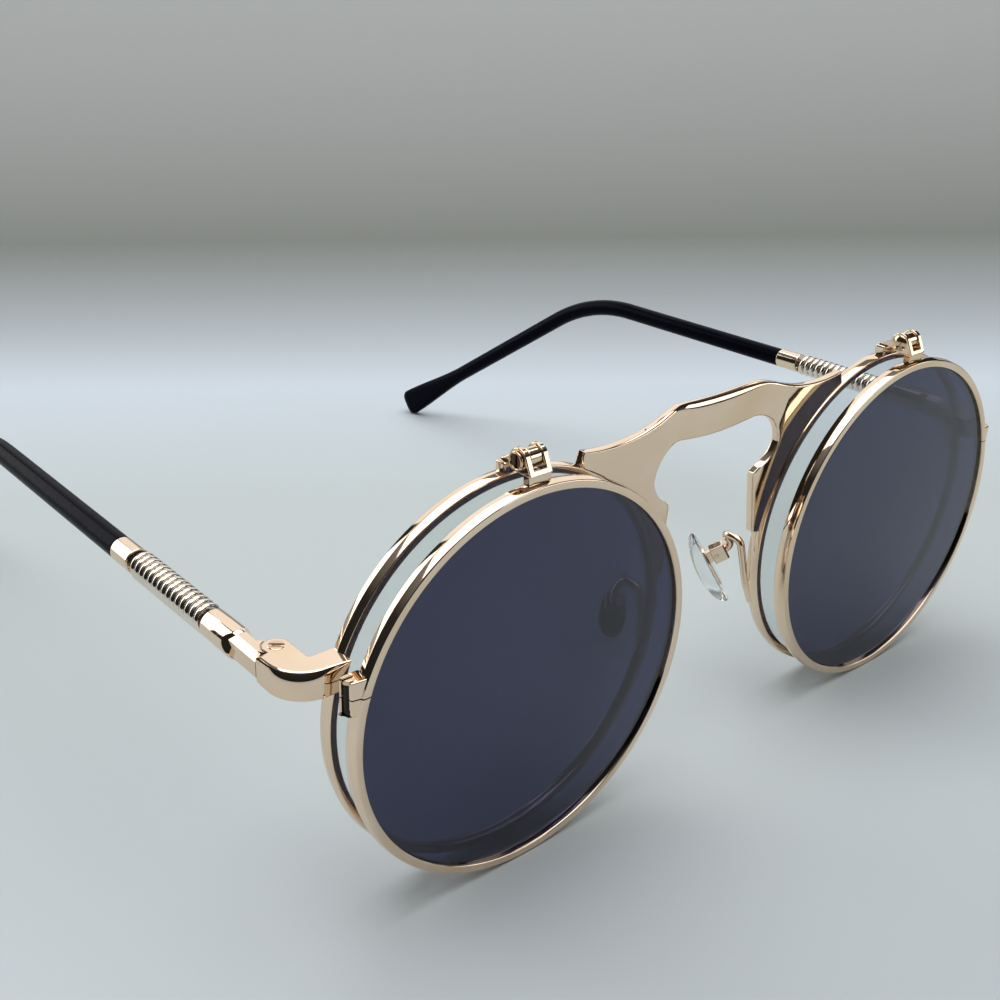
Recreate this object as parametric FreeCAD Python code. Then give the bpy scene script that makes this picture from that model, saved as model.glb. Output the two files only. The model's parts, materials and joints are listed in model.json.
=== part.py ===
import FreeCAD, Part
import math
import os

# Flip-up sunglasses: a round metal frame with clear lenses, and tinted lenses in rims that flip up.
# Millimetres. Pieces are drawn with X to the wearer's left, Y from the front towards the ears and
# Z up along the lenses, from a point midway between the lens centres on the front of the flip rims.
# At the end the whole is tilted to stand on its flip rims and temple tips.
# Every piece is drawn for the wearer's left and mirrored for the right.

Vector = FreeCAD.Vector

# Lenses and rims
lens_spacing = 70.0            # between the lens centres
sight_radius = 23.5            # lens that shows inside a rim
rim_wall = 1.2                 # inner edge to outer ridge
rim_depth = 1.9                # front to back
rim_crown = 0.2                # rise of the outer face from its edges to its ridge
rim_gap = 2.95                 # open space between a flip rim and a back rim
groove_depth = 0.55
groove_width = 0.9
lens_thickness = 1.2
lens_fit = 0.03                # lens edge to groove
lens_crown = 0.25              # middle of a lens, in front of its edge

# Closing blocks that clamp the rims
lock_level = 7.3               # flip rim's slit, above the lens centre
lock_height = 4.1
lock_radius = 0.95             # round barrel
lock_reach = 1.5               # flip rim's block, beyond the rim
lock_set_back = 1.5            # its barrel, behind the rim's front
lock_slit = 0.15
lock_screw_diameter = 0.9
lock_head_diameter = 1.35
lock_head_height = 0.5
lock_head_proud = 0.15
lock_screw_end = 0.35          # screw end below the block
back_lock_drop = 0.3           # back rim's slit, below the endpiece

# Fits of screws
screw_fit = 0.03               # screw in a hole of its own body
running_fit = 0.04             # screw in a hole that turns on it
slot_width = 0.28
slot_depth = 0.22

# Endpieces and temple hinges
end_level = 8.2                # middle of the endpiece, above the lens centre
end_height = 3.3
end_proud = 1.35               # in front of the back rim
end_corner_radius = 4.4
end_edge = 0.35                # rounding of the outer edges
hinge_inset = 1.6              # hinge axis, inside the temple's line
hinge_set_back = 3.85          # hinge axis, behind the back rim
hinge_knuckle_radius = 1.5
hinge_play = 0.15              # round the knuckles
tongue_height = 1.15
tongue_play = 0.06             # above and below the tongue
seam_lead = 0.6                # seam, in front of the hinge axis
seam_gap = 0.1
hinge_screw_diameter = 1.2
hinge_head_diameter = 1.9
hinge_head_height = 0.45

# Temples
temple_outset = 3.9            # temple line, beyond the rim
temple_slope = 1.2             # degrees down from square to the lenses
block_width = 2.4
block_length = 5.6
sleeve_radius = 1.8
sleeve_length = 5.5
block_chamfer = 0.7            # long edges of the block
facet_lead = 0.6               # sleeve's round end, in front of the bend in the temple's line
facet_run = 1.35               # flats that slope from the block's sides to the sleeve's
core_radius = 0.75
core_fit = 0.02
core_seat = 3.0                # core inside the sleeve
core_end_gap = 16.0            # end of the core to the end of the tip
ferrule_radius = 1.62
ferrule_length = 4.4
ferrule_edge = 0.2
tip_radius = 1.57
tip_lip = 0.15                 # tip's edge rounding at the ferrule
bend_start_run = 49.6          # ferrule to the corner of the ear bend
bend_radius = 36.0
bend_drop = 33.4               # degrees, further down behind the bend
bend_inward = 6.8              # degrees, towards the head behind the bend
bend_end_run = 69.0            # corner of the ear bend to the tip's end
paddle_length = 24.0
paddle_height = 6.2
paddle_thickness = 2.5
paddle_corner = 0.8
paddle_end_radius = 2.3        # rounding of the paddle's end, seen from the side
paddle_middle_share = 0.45     # height halfway along the paddle, of its two ends' heights together

# Temple springs
spring_turns = 15
spring_pitch = 1.13
spring_wire = 0.7
spring_radius = 1.47           # axis of the spring to the middle of the wire
spring_leg = 0.135             # straight end, on the sleeve or the ferrule
spring_bend = 0.75             # turn from the straight end into the coil
turn_steps = 2                 # biarcs in a turn

# Bridge
bridge_sheet = 1.2
bridge_set_back = 0.25         # wings, behind the back rim's front
bridge_joggle = 0.9            # span, behind the wings
joggle_run = 1.3               # width of each sloping step
span_height = 5.0
span_rise = 0.7                # span's upper edge, above the rims
span_dip = 0.45                # shoulders, above the middle of the upper edge
wing_tip_angle = 114.0         # degrees round the lens centre from the wearer's left
wing_tip_height = 1.6          # stand-offs of the wing's outline from the rim
wing_neck_angle = 125.0
wing_neck_height = 4.1
shoulder_angle = 135.4
shoulder_height = 12.1
key_top_angle = 143.7
key_top_height = 10.6
key_corner_angle = 141.0
key_corner_height = 6.8
key_side_angle = 144.3
key_side_height = 3.8
key_waist_angle = 148.6
key_waist_height = 3.6
key_foot_angle = 152.6
key_foot_height = 4.5
key_lip_angle = 154.6
key_lip_height = 4.9
wing_step_angle = 155.6
wing_step_height = 4.75
wing_end_angle = 171.6
wing_end_height = 1.4
shoulder_curve = 3.5           # rounding of the upper edge at the shoulders

# Flip hinges
flip_axis_rise = 2.3           # above the rims
flip_axis_back = 0.8           # behind the flip rim
flip_knuckle_radius = 1.25
flip_knuckle_width = 1.6
flip_play = 0.06               # each side of the knuckle
flip_ear = 0.75
flip_ear_radius = 1.4
flip_toe = 1.85                # front edge of the bracket, in front of the axis
flip_bar_depth = 0.65          # bar across the bracket's front
flip_bar_height = 0.55
flip_foot_depth = 1.0          # foot on the flip rim
flip_screw_diameter = 1.0
flip_head_diameter = 2.0
flip_head_height = 0.4
base_foot_width = 2.8
base_foot_rise = 1.1           # foot on the back rim, above the rim
base_margin = 0.15             # foot inside the rim's edges

# Nose pads
pad_splay = 40.0               # degrees, back edges apart
pad_tilt = 31.0                # degrees, upper ends together
pad_outset = 0.5               # pad screw, outside the rim's inner side
pad_set_back = 5.75            # pad screw, behind the back rim
pad_drop = 2.9                 # pad screw, below the lens centre
pad_length = 12.0
pad_width = 6.6
pad_thickness = 2.3
pad_low = 1.6                  # middle of the pad, below its screw
pad_crown_radius = 12.0
pad_plate_thickness = 0.5
pad_plate_share = 0.55         # metal core's length and width, of the pad's
pad_stand = 1.2                # pad screw to the core's plate
lug_thickness = 0.9
lug_radius = 0.85
lug_play = 0.08                # each side of the lug
box_wall = 0.4
box_depth = 1.6                # pad screw to the box's outer face
box_lip = 0.6                  # box walls beyond the screw
box_height = 2.4
pad_screw_diameter = 0.7
pad_screw_head = 1.1
pad_screw_head_height = 0.3
arm_radius = 0.55
arm_bend_radius = 0.95
arm_root_angle = 200.0         # degrees round the lens centre
arm_rise_angle = 193.0
arm_top_angle = 178.1
arm_sink = 0.3                 # middle of the wire, inside the rim's outer radius
arm_root_lead = 0.35           # middle of the wire at its root, in front of the rim's back
arm_rise_back = 0.25           # middle of the wire, behind the rim
arm_top_back = 1.6
arm_hook_back = 3.6
arm_hook_rise = 0.8            # top of the hook, above the lens centre
arm_hook_out = 1.4             # hook, beyond the pad screw
arm_box_run = 1.5              # straight end that meets the box

overrun = 2.0                  # cutters beyond what they cut

# Places worked out from the sizes
half_spacing = lens_spacing / 2
rim_radius = sight_radius + rim_wall
flip_back = rim_depth
back_front = rim_depth + rim_gap
back_back = back_front + rim_depth
temple_x = half_spacing + rim_radius + temple_outset
block_inner_x = temple_x - block_width / 2
block_outer_x = temple_x + block_width / 2
hinge_x = temple_x - hinge_inset
hinge_y = back_back + hinge_set_back
seam_y = hinge_y - seam_lead
end_top = end_level + end_height / 2
end_bottom = end_level - end_height / 2
sleeve_y = seam_y + block_length
flip_axis_y = flip_back + flip_axis_back
flip_axis_z = rim_radius + flip_axis_rise
bracket_width = flip_knuckle_width + 2 * (flip_play + flip_ear)
spring_end = spring_leg + spring_bend
spring_length = spring_turns * spring_pitch + 2 * spring_end
spring_y = sleeve_y + sleeve_length
ferrule_y = spring_y + spring_length
tip_y = ferrule_y + ferrule_length

x_axis = Vector(1, 0, 0)
y_axis = Vector(0, 1, 0)
z_axis = Vector(0, 0, 1)


def block(x0, x1, y0, y1, z0, z1):
    return Part.makeBox(x1 - x0, y1 - y0, z1 - z0, Vector(x0, y0, z0))


def rod(start, direction, length, radius):
    return Part.makeCylinder(radius, length, start, direction)


def plate_yz(points, x0, x1):
    # Flat outline of (y, z) points, drawn out along X.
    corners = [Vector(x0, y, z) for y, z in points]
    face = Part.Face(Part.makePolygon(corners + corners[:1]))
    return face.extrude(Vector(x1 - x0, 0, 0))


def turned(profile):
    # Closed outline of (radius, y) points, turned about the left lens's axis.
    corners = [Vector(half_spacing + radius, y, 0) for radius, y in profile]
    face = Part.Face(Part.makePolygon(corners + corners[:1]))
    return face.revolve(Vector(half_spacing, 0, 0), y_axis, 360)


def round_lens_centre(angle, stand_off, y=0):
    # Point at an angle round the left lens centre, at a stand-off from the rim's outer ridge.
    turn = math.radians(angle)
    reach = rim_radius + stand_off
    return Vector(half_spacing + reach * math.cos(turn), y, reach * math.sin(turn))


def slotted(head_face, axis, head_radius, along):
    # Screwdriver slot: a thin bar across a screw head, sunk from its outer face.
    across = axis.cross(along)
    bar = along * (2 * head_radius + overrun) + across * slot_width + axis * (2 * slot_depth)
    size = [abs(c) for c in bar]
    return Part.makeBox(size[0], size[1], size[2], head_face - Vector(*size) / 2)


# Rims and lenses

def rim_outline(front):
    outer = rim_radius - rim_crown
    middle = front + rim_depth / 2
    back = front + rim_depth
    groove = groove_width / 2
    return [(sight_radius, front), (outer, front), (rim_radius, middle), (outer, back), (sight_radius, back),
            (sight_radius, middle + groove), (sight_radius + groove_depth, middle),
            (sight_radius, middle - groove)]


def rim_blank(front, lead=0):
    # The rim's outer form without its opening, to cut what is soldered on; lead carries it forwards.
    outer = rim_radius - rim_crown
    start = front - lead
    back = front + rim_depth
    ridge = (rim_radius, front + rim_depth / 2)
    return turned([(0, start), (outer, start), (outer, front), ridge, (outer, back), (0, back)])


def lens(front):
    # Shallow meniscus with a bevelled edge in the rim's groove, turned about the lens's axis.
    edge = sight_radius - lens_fit
    middle = front + rim_depth / 2
    bevel = groove_width / 2 - lens_fit
    near = middle - lens_thickness / 2
    far = middle + lens_thickness / 2
    peak = sight_radius + groove_depth - lens_fit
    bowl = (edge ** 2 + lens_crown ** 2) / (2 * lens_crown)
    halfway = math.asin(edge / bowl) / 2

    def at(radius, y):
        return Vector(half_spacing + radius, y, 0)

    def bow(y):
        # from the lens's axis to its edge, y being the edge's place
        apex = y - lens_crown
        rise = bowl * (1 - math.cos(halfway))
        return Part.Arc(at(0, apex), at(bowl * math.sin(halfway), apex + rise), at(edge, y))

    corners = [at(edge, near), at(edge, middle - bevel), at(peak, middle), at(edge, middle + bevel),
               at(edge, far)]
    lines = [Part.LineSegment(a, b) for a, b in zip(corners, corners[1:])]
    lines += [bow(near), bow(far), Part.LineSegment(at(0, near - lens_crown), at(0, far - lens_crown))]
    outline = Part.Wire(Part.sortEdges([line.toShape() for line in lines])[0])
    return Part.Face(outline).revolve(Vector(half_spacing, 0, 0), y_axis, 360)


def slit_level(at_back):
    return end_bottom - back_lock_drop if at_back else lock_level


def lock_axis(at_back):
    # Foot of a closing screw's axis: beside the flip rim, or behind the back rim.
    level = slit_level(at_back)
    ridge = half_spacing + math.sqrt(rim_radius ** 2 - level ** 2)
    low = level - lock_height / 2
    if at_back:
        return Vector(ridge - rim_wall / 2, back_back + lock_radius - lock_screw_diameter / 4, low)
    return Vector(ridge + lock_reach - lock_radius, lock_set_back, low)


def lock_screw(at_back):
    foot = lock_axis(at_back)
    top = foot + z_axis * (lock_height + lock_head_proud)
    shank = rod(foot - z_axis * lock_screw_end, z_axis, lock_height + lock_screw_end, lock_screw_diameter / 2)
    head = rod(top - z_axis * lock_head_height, z_axis, lock_head_height, lock_head_diameter / 2)
    return shank.fuse(head).cut(slotted(top, z_axis, lock_head_diameter / 2, x_axis)).removeSplitter()


def rim(front, at_back):
    foot = lock_axis(at_back)
    level = slit_level(at_back)
    top = foot.z + lock_height
    barrel = rod(foot, z_axis, lock_height, lock_radius)
    if at_back:
        web = block(foot.x - lock_radius, foot.x + lock_radius, back_back, foot.y, foot.z, top)
        barrel = barrel.cut(block(half_spacing, foot.x + overrun, back_front, back_back, foot.z, top))
    else:
        web = block(half_spacing, foot.x, foot.y - lock_radius, foot.y + lock_radius, foot.z, top)
    inside = rod(Vector(half_spacing, -overrun, 0), y_axis, back_back + overrun,
                 sight_radius + (groove_depth + rim_wall) / 2)
    ring = turned(rim_outline(front)).fuse(barrel.fuse(web).cut(inside))
    reach = foot.x + lock_radius + overrun
    slit = block(half_spacing, reach, front - overrun, foot.y + lock_radius + overrun,
                 level - lock_slit / 2, level + lock_slit / 2)
    bore = lock_screw_diameter / 2 + screw_fit
    hole = rod(foot - z_axis * overrun, z_axis, lock_height + 2 * overrun, bore)
    sink = top + lock_head_proud - lock_head_height - screw_fit
    recess = rod(Vector(foot.x, foot.y, sink), z_axis, overrun, lock_head_diameter / 2 + screw_fit)
    return ring.cut(slit).cut(hole).cut(recess).removeSplitter()


# Endpieces and temple hinges

def hinge_barrel(radius, low, high):
    return rod(Vector(hinge_x, hinge_y, low), z_axis, high - low, radius)


def endpiece():
    front = back_front - end_proud
    corner = end_corner_radius
    bow = corner * (1 - math.sqrt(0.5))
    inner = hinge_x - hinge_knuckle_radius
    a = Vector(half_spacing, front, end_bottom)
    b = Vector(block_outer_x - corner, front, end_bottom)
    c = Vector(block_outer_x - bow, front + bow, end_bottom)
    d = Vector(block_outer_x, front + corner, end_bottom)
    e = Vector(block_outer_x, seam_y, end_bottom)
    f = Vector(hinge_x, seam_y, end_bottom)
    g = Vector(hinge_x, hinge_y, end_bottom)
    h = Vector(inner, hinge_y, end_bottom)
    i = Vector(inner, back_back, end_bottom)
    j = Vector(half_spacing, back_back, end_bottom)
    edges = [Part.LineSegment(a, b).toShape(), Part.Arc(b, c, d).toShape()]
    corners = [d, e, f, g, h, i, j, a]
    edges += [Part.LineSegment(p, q).toShape() for p, q in zip(corners, corners[1:])]
    body = Part.Face(Part.Wire(edges)).extrude(z_axis * end_height)
    body = body.fuse(hinge_barrel(hinge_knuckle_radius, end_bottom, end_top)).removeSplitter()
    bulge = [k for k in body.Edges if abs(k.CenterOfMass.y - front) < corner
             and k.BoundBox.ZLength < end_height / 2 and k.CenterOfMass.x > block_outer_x - corner - bow
             and k.CenterOfMass.y < seam_y - seam_lead]
    body = body.makeFillet(end_edge, bulge)
    body = body.cut(rim_blank(back_front, end_proud + overrun))
    half = tongue_height / 2 + tongue_play
    room = hinge_barrel(hinge_knuckle_radius + hinge_play, end_level - half, end_level + half)
    way = block(inner - overrun, hinge_x, hinge_y - hinge_knuckle_radius - hinge_play, hinge_y + overrun,
                end_level - half, end_level + half)
    hole = hinge_barrel(hinge_screw_diameter / 2 + screw_fit, end_bottom - overrun, end_top + overrun)
    recess = hinge_barrel(hinge_head_diameter / 2 + screw_fit, end_top - hinge_head_height, end_top + overrun)
    return body.cut(room).cut(way).cut(hole).cut(recess)


def hinge_screw():
    shank = hinge_barrel(hinge_screw_diameter / 2, end_bottom, end_top - hinge_head_height)
    head = hinge_barrel(hinge_head_diameter / 2, end_top - hinge_head_height, end_top)
    slot = slotted(Vector(hinge_x, hinge_y, end_top), z_axis, hinge_head_diameter / 2, y_axis)
    return shank.fuse(head).cut(slot).removeSplitter()


# Temples: the pieces behind the hinge block lie on a line that slopes down from the block's end

def sloped(shape):
    shape.rotate(Vector(temple_x, sleeve_y, end_level), x_axis, -temple_slope)
    return shape


def on_temple(y):
    return Vector(temple_x, y, end_level)


def temple_rod(y0, y1, radius):
    return rod(on_temple(y0), y_axis, y1 - y0, radius)


def temple_block():
    # Bar with chamfered long edges, set in the round sleeve, whose sides have sloping flats down to the bar.
    slope_start = sleeve_y - facet_lead
    slope_end = slope_start + facet_run
    body = block(block_inner_x, block_outer_x, seam_y + seam_gap, slope_end, end_bottom, end_top)
    body = body.makeChamfer(block_chamfer, [e for e in body.Edges if e.BoundBox.YLength > facet_run])
    body = body.cut(hinge_barrel(hinge_knuckle_radius + hinge_play, end_bottom - overrun, end_top + overrun))
    low = end_level - tongue_height / 2
    high = end_level + tongue_height / 2
    tongue = hinge_barrel(hinge_knuckle_radius, low, high)
    tongue = tongue.fuse(block(block_inner_x, hinge_x + hinge_knuckle_radius, hinge_y,
                               hinge_y + 2 * hinge_knuckle_radius, low, high))
    body = body.fuse(tongue)
    far_x = block_outer_x + 2 * (sleeve_radius - block_width / 2)
    line = [(block_outer_x, slope_start - overrun), (block_outer_x, slope_start),
            (far_x, slope_end + facet_run), (far_x, slope_start - overrun)]
    corners = [Vector(x, y, end_bottom - overrun) for x, y in line]
    flat = Part.Face(Part.makePolygon(corners + corners[:1])).extrude(z_axis * (end_height + 2 * overrun))
    sleeve = temple_rod(slope_start, spring_y, sleeve_radius).cut(flat).cut(flat.mirror(on_temple(0), x_axis))
    sleeve = sloped(sleeve)
    seat = sloped(temple_rod(spring_y - core_seat, spring_y + overrun, core_radius + core_fit))
    hole = hinge_barrel(hinge_screw_diameter / 2 + running_fit, end_bottom - overrun, end_top + overrun)
    return body.fuse(sleeve).cut(seat).cut(hole).removeSplitter()


def temple_ferrule():
    edge = ferrule_radius - ferrule_edge
    body = temple_rod(ferrule_y + ferrule_edge, tip_y, ferrule_radius)
    nose = Part.makeCone(edge, ferrule_radius, ferrule_edge, on_temple(ferrule_y), y_axis)
    bore = temple_rod(ferrule_y - overrun, tip_y + overrun, core_radius + core_fit)
    return sloped(body.fuse(nose).cut(bore).removeSplitter())


def ear_bend():
    # Start, middle and end of the bend's arc, the bend's corner, and the way on behind it.
    corner = on_temple(tip_y + bend_start_run)
    drop = math.radians(bend_drop)
    inward = math.radians(bend_inward)
    onward = Vector(-math.sin(inward) * math.cos(drop), math.cos(inward) * math.cos(drop), -math.sin(drop))
    turn = y_axis.getAngle(onward)
    reach = bend_radius * math.tan(turn / 2)
    first = corner - y_axis * reach
    last = corner + onward * reach
    inwards = (onward - y_axis).normalize()
    middle = corner + inwards * (bend_radius / math.cos(turn / 2) - bend_radius)
    return first, middle, last, corner, onward


def temple_tube(y0, radius, end_gap):
    # Round bar along the temple from y0, round the ear bend, to end_gap before the tip's end.
    first, middle, last, corner, onward = ear_bend()
    end = corner + onward * (bend_end_run - end_gap)
    start = on_temple(y0)
    path = Part.Wire([Part.LineSegment(start, first).toShape(), Part.Arc(first, middle, last).toShape(),
                      Part.LineSegment(last, end).toShape()])
    ring = Part.Wire(Part.makeCircle(radius, start, y_axis))
    return path.makePipeShell([ring], True, False)


def paddle_section(centre, onward, up, height, thickness, corner):
    # Rounded oblong across the tip, from four lines and four arcs.
    side = onward.cross(up)
    h = height / 2
    t = thickness / 2
    cut = corner * (1 - math.sqrt(0.5))
    edges = []
    for sy, sz in ((1, 1), (-1, 1), (-1, -1), (1, -1)):
        points = [(sy * t, sz * (h - corner)), (sy * (t - cut), sz * (h - cut)), (sy * (t - corner), sz * h)]
        if sy * sz < 0:
            points.reverse()
        edges.append([centre + side * y + up * z for y, z in points])
    wire = []
    for corner_points, following in zip(edges, edges[1:] + edges[:1]):
        wire.append(Part.Arc(*corner_points).toShape())
        wire.append(Part.LineSegment(corner_points[2], following[0]).toShape())
    return Part.Wire(wire)


def paddle_side(start, end, onward, up, side):
    # The paddle's outline from the side, with a rounded end, as a plate wider than the paddle.
    high = up * paddle_height
    curve = paddle_end_radius
    cut = curve * (1 - math.sqrt(0.5))
    edges = []
    ends = []
    for sign in (1, -1):
        top = up * (sign * paddle_height / 2)
        first = end + top - onward * curve
        last = end + top - up * (sign * curve)
        edges.append(Part.Arc(first, end + top - onward * cut - up * (sign * cut), last).toShape())
        ends.append((first, last))
    (upper, upper_end), (lower, lower_end) = ends
    corners = [upper, start + high, start - high, lower]
    edges += [Part.LineSegment(a, b).toShape() for a, b in zip(corners, corners[1:])]
    edges.append(Part.LineSegment(upper_end, lower_end).toShape())
    outline = Part.Face(Part.Wire(Part.sortEdges(edges)[0]))
    outline.translate(side * -paddle_height)
    return outline.extrude(side * (2 * paddle_height))


def temple_tip():
    first, middle, last, corner, onward = ear_bend()
    side = onward.cross(z_axis).normalize()
    up = side.cross(onward)
    end = corner + onward * bend_end_run
    start = end - onward * paddle_length
    stem = temple_tube(tip_y, tip_radius, paddle_length)
    span = 2 * tip_radius
    nearly = tip_radius - tip_lip
    halfway = start + onward * (paddle_length / 2)
    mid_height = (span + paddle_height) * paddle_middle_share
    sections = [paddle_section(start, onward, up, span, span, nearly),
                paddle_section(halfway, onward, up, mid_height, (span + paddle_thickness) / 2, nearly),
                paddle_section(end, onward, up, paddle_height, paddle_thickness, paddle_corner)]
    paddle = Part.makeLoft(sections, True).common(paddle_side(start, end, onward, up, side))
    bore = temple_tube(tip_y - overrun, core_radius + core_fit, core_end_gap - core_fit)
    return sloped(stem.fuse(paddle).cut(bore).removeSplitter())


def temple_core():
    return sloped(temple_tube(spring_y - core_seat, core_radius, core_end_gap))


# Temple springs

def biarc(p0, t0, p1, t1):
    # Two arcs that leave p0 along t0, meet smoothly and reach p1 along t1.
    v = p1 - p0
    t = t0 + t1
    k = 2 * (1 - t0.dot(t1))
    d = (math.sqrt(v.dot(t) ** 2 + k * v.dot(v)) - v.dot(t)) / k
    q0 = p0 + t0 * d
    q1 = p1 - t1 * d
    joint = (q0 + q1) / 2
    arcs = []
    for a, q, b in ((p0, q0, joint), (joint, q1, p1)):
        chord = (a + b) / 2
        half = a.distanceToPoint(b) / 2
        sagitta = half * math.tan(math.acos(half / d) / 2)
        arcs.append(Part.Arc(a, chord + (q - chord).normalize() * sagitta, b).toShape())
    return arcs


def coil_point(angle):
    turn = math.radians(angle)
    rise = spring_end + spring_pitch * angle / 360
    return on_temple(spring_y + rise) + Vector(math.sin(turn), 0, -math.cos(turn)) * spring_radius


def coil_tangent(angle):
    turn = math.radians(angle)
    lead = spring_pitch / (2 * math.pi)
    return (Vector(math.cos(turn), 0, math.sin(turn)) * spring_radius + y_axis * lead).normalize()


def spring_path():
    # Straight end, a quarter bend into the coil, the coil, and the same again at the other end.
    swing = math.degrees(spring_bend / spring_radius)
    last = 360 * spring_turns
    foot = coil_point(-swing)
    foot.y = spring_y
    head = coil_point(last + swing)
    head.y = spring_y + spring_length
    leave = foot + y_axis * spring_leg
    arrive = head - y_axis * spring_leg
    edges = [Part.LineSegment(foot, leave).toShape()]
    edges += biarc(leave, y_axis, coil_point(0), coil_tangent(0))
    step = 360 / turn_steps
    for i in range(spring_turns * turn_steps):
        a = i * step
        b = a + step
        edges += biarc(coil_point(a), coil_tangent(a), coil_point(b), coil_tangent(b))
    edges += biarc(coil_point(last), coil_tangent(last), arrive, y_axis)
    edges.append(Part.LineSegment(arrive, head).toShape())
    return Part.Wire(edges)


def spring_self_gap(path):
    # Least gap between the wire's turns, from points along its middle.
    points = path.discretize(Distance=spring_wire / 4)
    apart = int(math.pi * spring_radius / (spring_wire / 4))
    least = min(p.distanceToPoint(q) for i, p in enumerate(points) for q in points[i + apart:i + 4 * apart])
    return least - spring_wire


def temple_spring():
    path = spring_path()
    print("temple spring: %d turns, least gap between turns %.2f mm" % (spring_turns, spring_self_gap(path)))
    ring = Part.Wire(Part.makeCircle(spring_wire / 2, path.Edges[0].Vertexes[0].Point, y_axis))
    return sloped(path.makePipeShell([ring], True, False))


# Bridge

def mirrored(point):
    return Vector(-point.x, point.y, point.z)


def bridge_outline():
    # Half outline round the left wing, then its mirror image.
    top = rim_radius + span_rise
    tip = round_lens_centre(wing_tip_angle, wing_tip_height)
    root = round_lens_centre(wing_tip_angle, -rim_wall)
    neck = round_lens_centre(wing_neck_angle, wing_neck_height)
    shoulder = round_lens_centre(shoulder_angle, shoulder_height)
    crest = Vector(0, 0, shoulder.z - span_dip)
    key_top = round_lens_centre(key_top_angle, key_top_height)
    key_middle = Vector(0, 0, top - span_height)
    key_corner = round_lens_centre(key_corner_angle, key_corner_height)
    key_side = round_lens_centre(key_side_angle, key_side_height)
    key_waist = round_lens_centre(key_waist_angle, key_waist_height)
    key_foot = round_lens_centre(key_foot_angle, key_foot_height)
    lip = round_lens_centre(key_lip_angle, key_lip_height)
    step = round_lens_centre(wing_step_angle, wing_step_height)
    end = round_lens_centre(wing_end_angle, wing_end_height)
    end_root = round_lens_centre(wing_end_angle, -rim_wall)
    inside = round_lens_centre((wing_tip_angle + wing_end_angle) / 2, -rim_wall)
    edges = [Part.Arc(mirrored(shoulder), crest, shoulder), Part.Arc(mirrored(key_top), key_middle, key_top)]
    runs = [(shoulder, neck, tip), (tip, root), (root, inside, end_root), (end_root, end), (end, step),
            (step, lip), (lip, key_foot), (key_foot, key_waist, key_side), (key_side, key_corner, key_top)]
    for run in runs + [tuple(mirrored(p) for p in run) for run in runs]:
        edges.append(Part.Arc(*run) if len(run) == 3 else Part.LineSegment(*run))
    return Part.Wire(Part.sortEdges([e.toShape() for e in edges])[0])


def bridge():
    # The stamped outline meets a bent strip: wings at the rims, and a span set back by two steps.
    far = half_spacing
    shoulder = round_lens_centre(shoulder_angle, shoulder_height)
    shoulder_x = shoulder.x
    wing = back_front + bridge_set_back
    span = wing + bridge_joggle
    line = [(-far, wing), (-shoulder_x - joggle_run / 2, wing), (-shoulder_x + joggle_run / 2, span),
            (shoulder_x - joggle_run / 2, span), (shoulder_x + joggle_run / 2, wing), (far, wing)]
    height = 2 * (rim_radius + span_rise)
    corners = [Vector(x, y, -height) for x, y in line]
    corners += [corner + y_axis * bridge_sheet for corner in corners[::-1]]
    strip = Part.Face(Part.makePolygon(corners + corners[:1])).extrude(z_axis * (2 * height))
    blank = Part.Face(bridge_outline()).extrude(y_axis * (back_back + overrun))
    edges = [e for e in blank.Edges if e.BoundBox.YLength > back_back
             and abs(e.CenterOfMass.z - shoulder.z) < joggle_run / 4
             and abs(abs(e.CenterOfMass.x) - shoulder.x) < joggle_run / 4]
    blank = blank.makeFillet(shoulder_curve, edges)
    left = rim_blank(back_front)
    return strip.common(blank).cut(left).cut(left.mirror(Vector(0, 0, 0), x_axis)).removeSplitter()


# Flip hinges

def flip_barrel(x0, x1, radius):
    return rod(Vector(half_spacing + x0, flip_axis_y, flip_axis_z), x_axis, x1 - x0, radius)


def flip_bracket():
    # Two round ears with a leaning front edge, joined by a bar at the front and a foot on the rim.
    half = bracket_width / 2
    inner = flip_knuckle_width / 2 + flip_play
    toe_y = flip_axis_y - flip_toe
    sole = flip_axis_z - flip_ear_radius
    # the front edge runs from the toe to where it touches the round of the ear
    reach = math.hypot(flip_toe, flip_ear_radius)
    turn = math.pi + math.atan2(flip_ear_radius, flip_toe) - math.acos(flip_ear_radius / reach)
    brow_y = flip_axis_y + flip_ear_radius * math.cos(turn)
    brow_z = flip_axis_z + flip_ear_radius * math.sin(turn)
    ears = plate_yz([(toe_y, sole), (brow_y, brow_z), (flip_axis_y, flip_axis_z), (flip_axis_y, sole)],
                    half_spacing - half, half_spacing + half)
    ears = ears.fuse(flip_barrel(-half, half, flip_ear_radius))
    beyond = flip_ear_radius + overrun
    cavity = block(half_spacing - inner, half_spacing + inner, toe_y - overrun, flip_axis_y + beyond,
                   sole - overrun, flip_axis_z + beyond)
    bar_back = toe_y + flip_bar_depth
    bar_top = sole + flip_bar_height
    bar_brow = toe_y + flip_bar_height * (brow_y - toe_y) / (brow_z - sole)
    bar = plate_yz([(toe_y, sole), (bar_back, sole), (bar_back, bar_top), (bar_brow, bar_top)],
                   half_spacing - half, half_spacing + half)
    foot_front = toe_y + (flip_bar_depth - flip_clear()) / 2
    foot = block(half_spacing - half, half_spacing + half, foot_front, foot_front + flip_foot_depth,
                 rim_radius - rim_crown - rim_wall / 2, sole)
    hole = flip_barrel(-half - overrun, half + overrun, flip_screw_diameter / 2 + screw_fit)
    return ears.cut(cavity).fuse(bar).fuse(foot).cut(hole).cut(rim_blank(0)).removeSplitter()


def flip_clear():
    # Play round the knuckle, between it and the ears' round.
    return flip_ear_radius - flip_knuckle_radius


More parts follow.
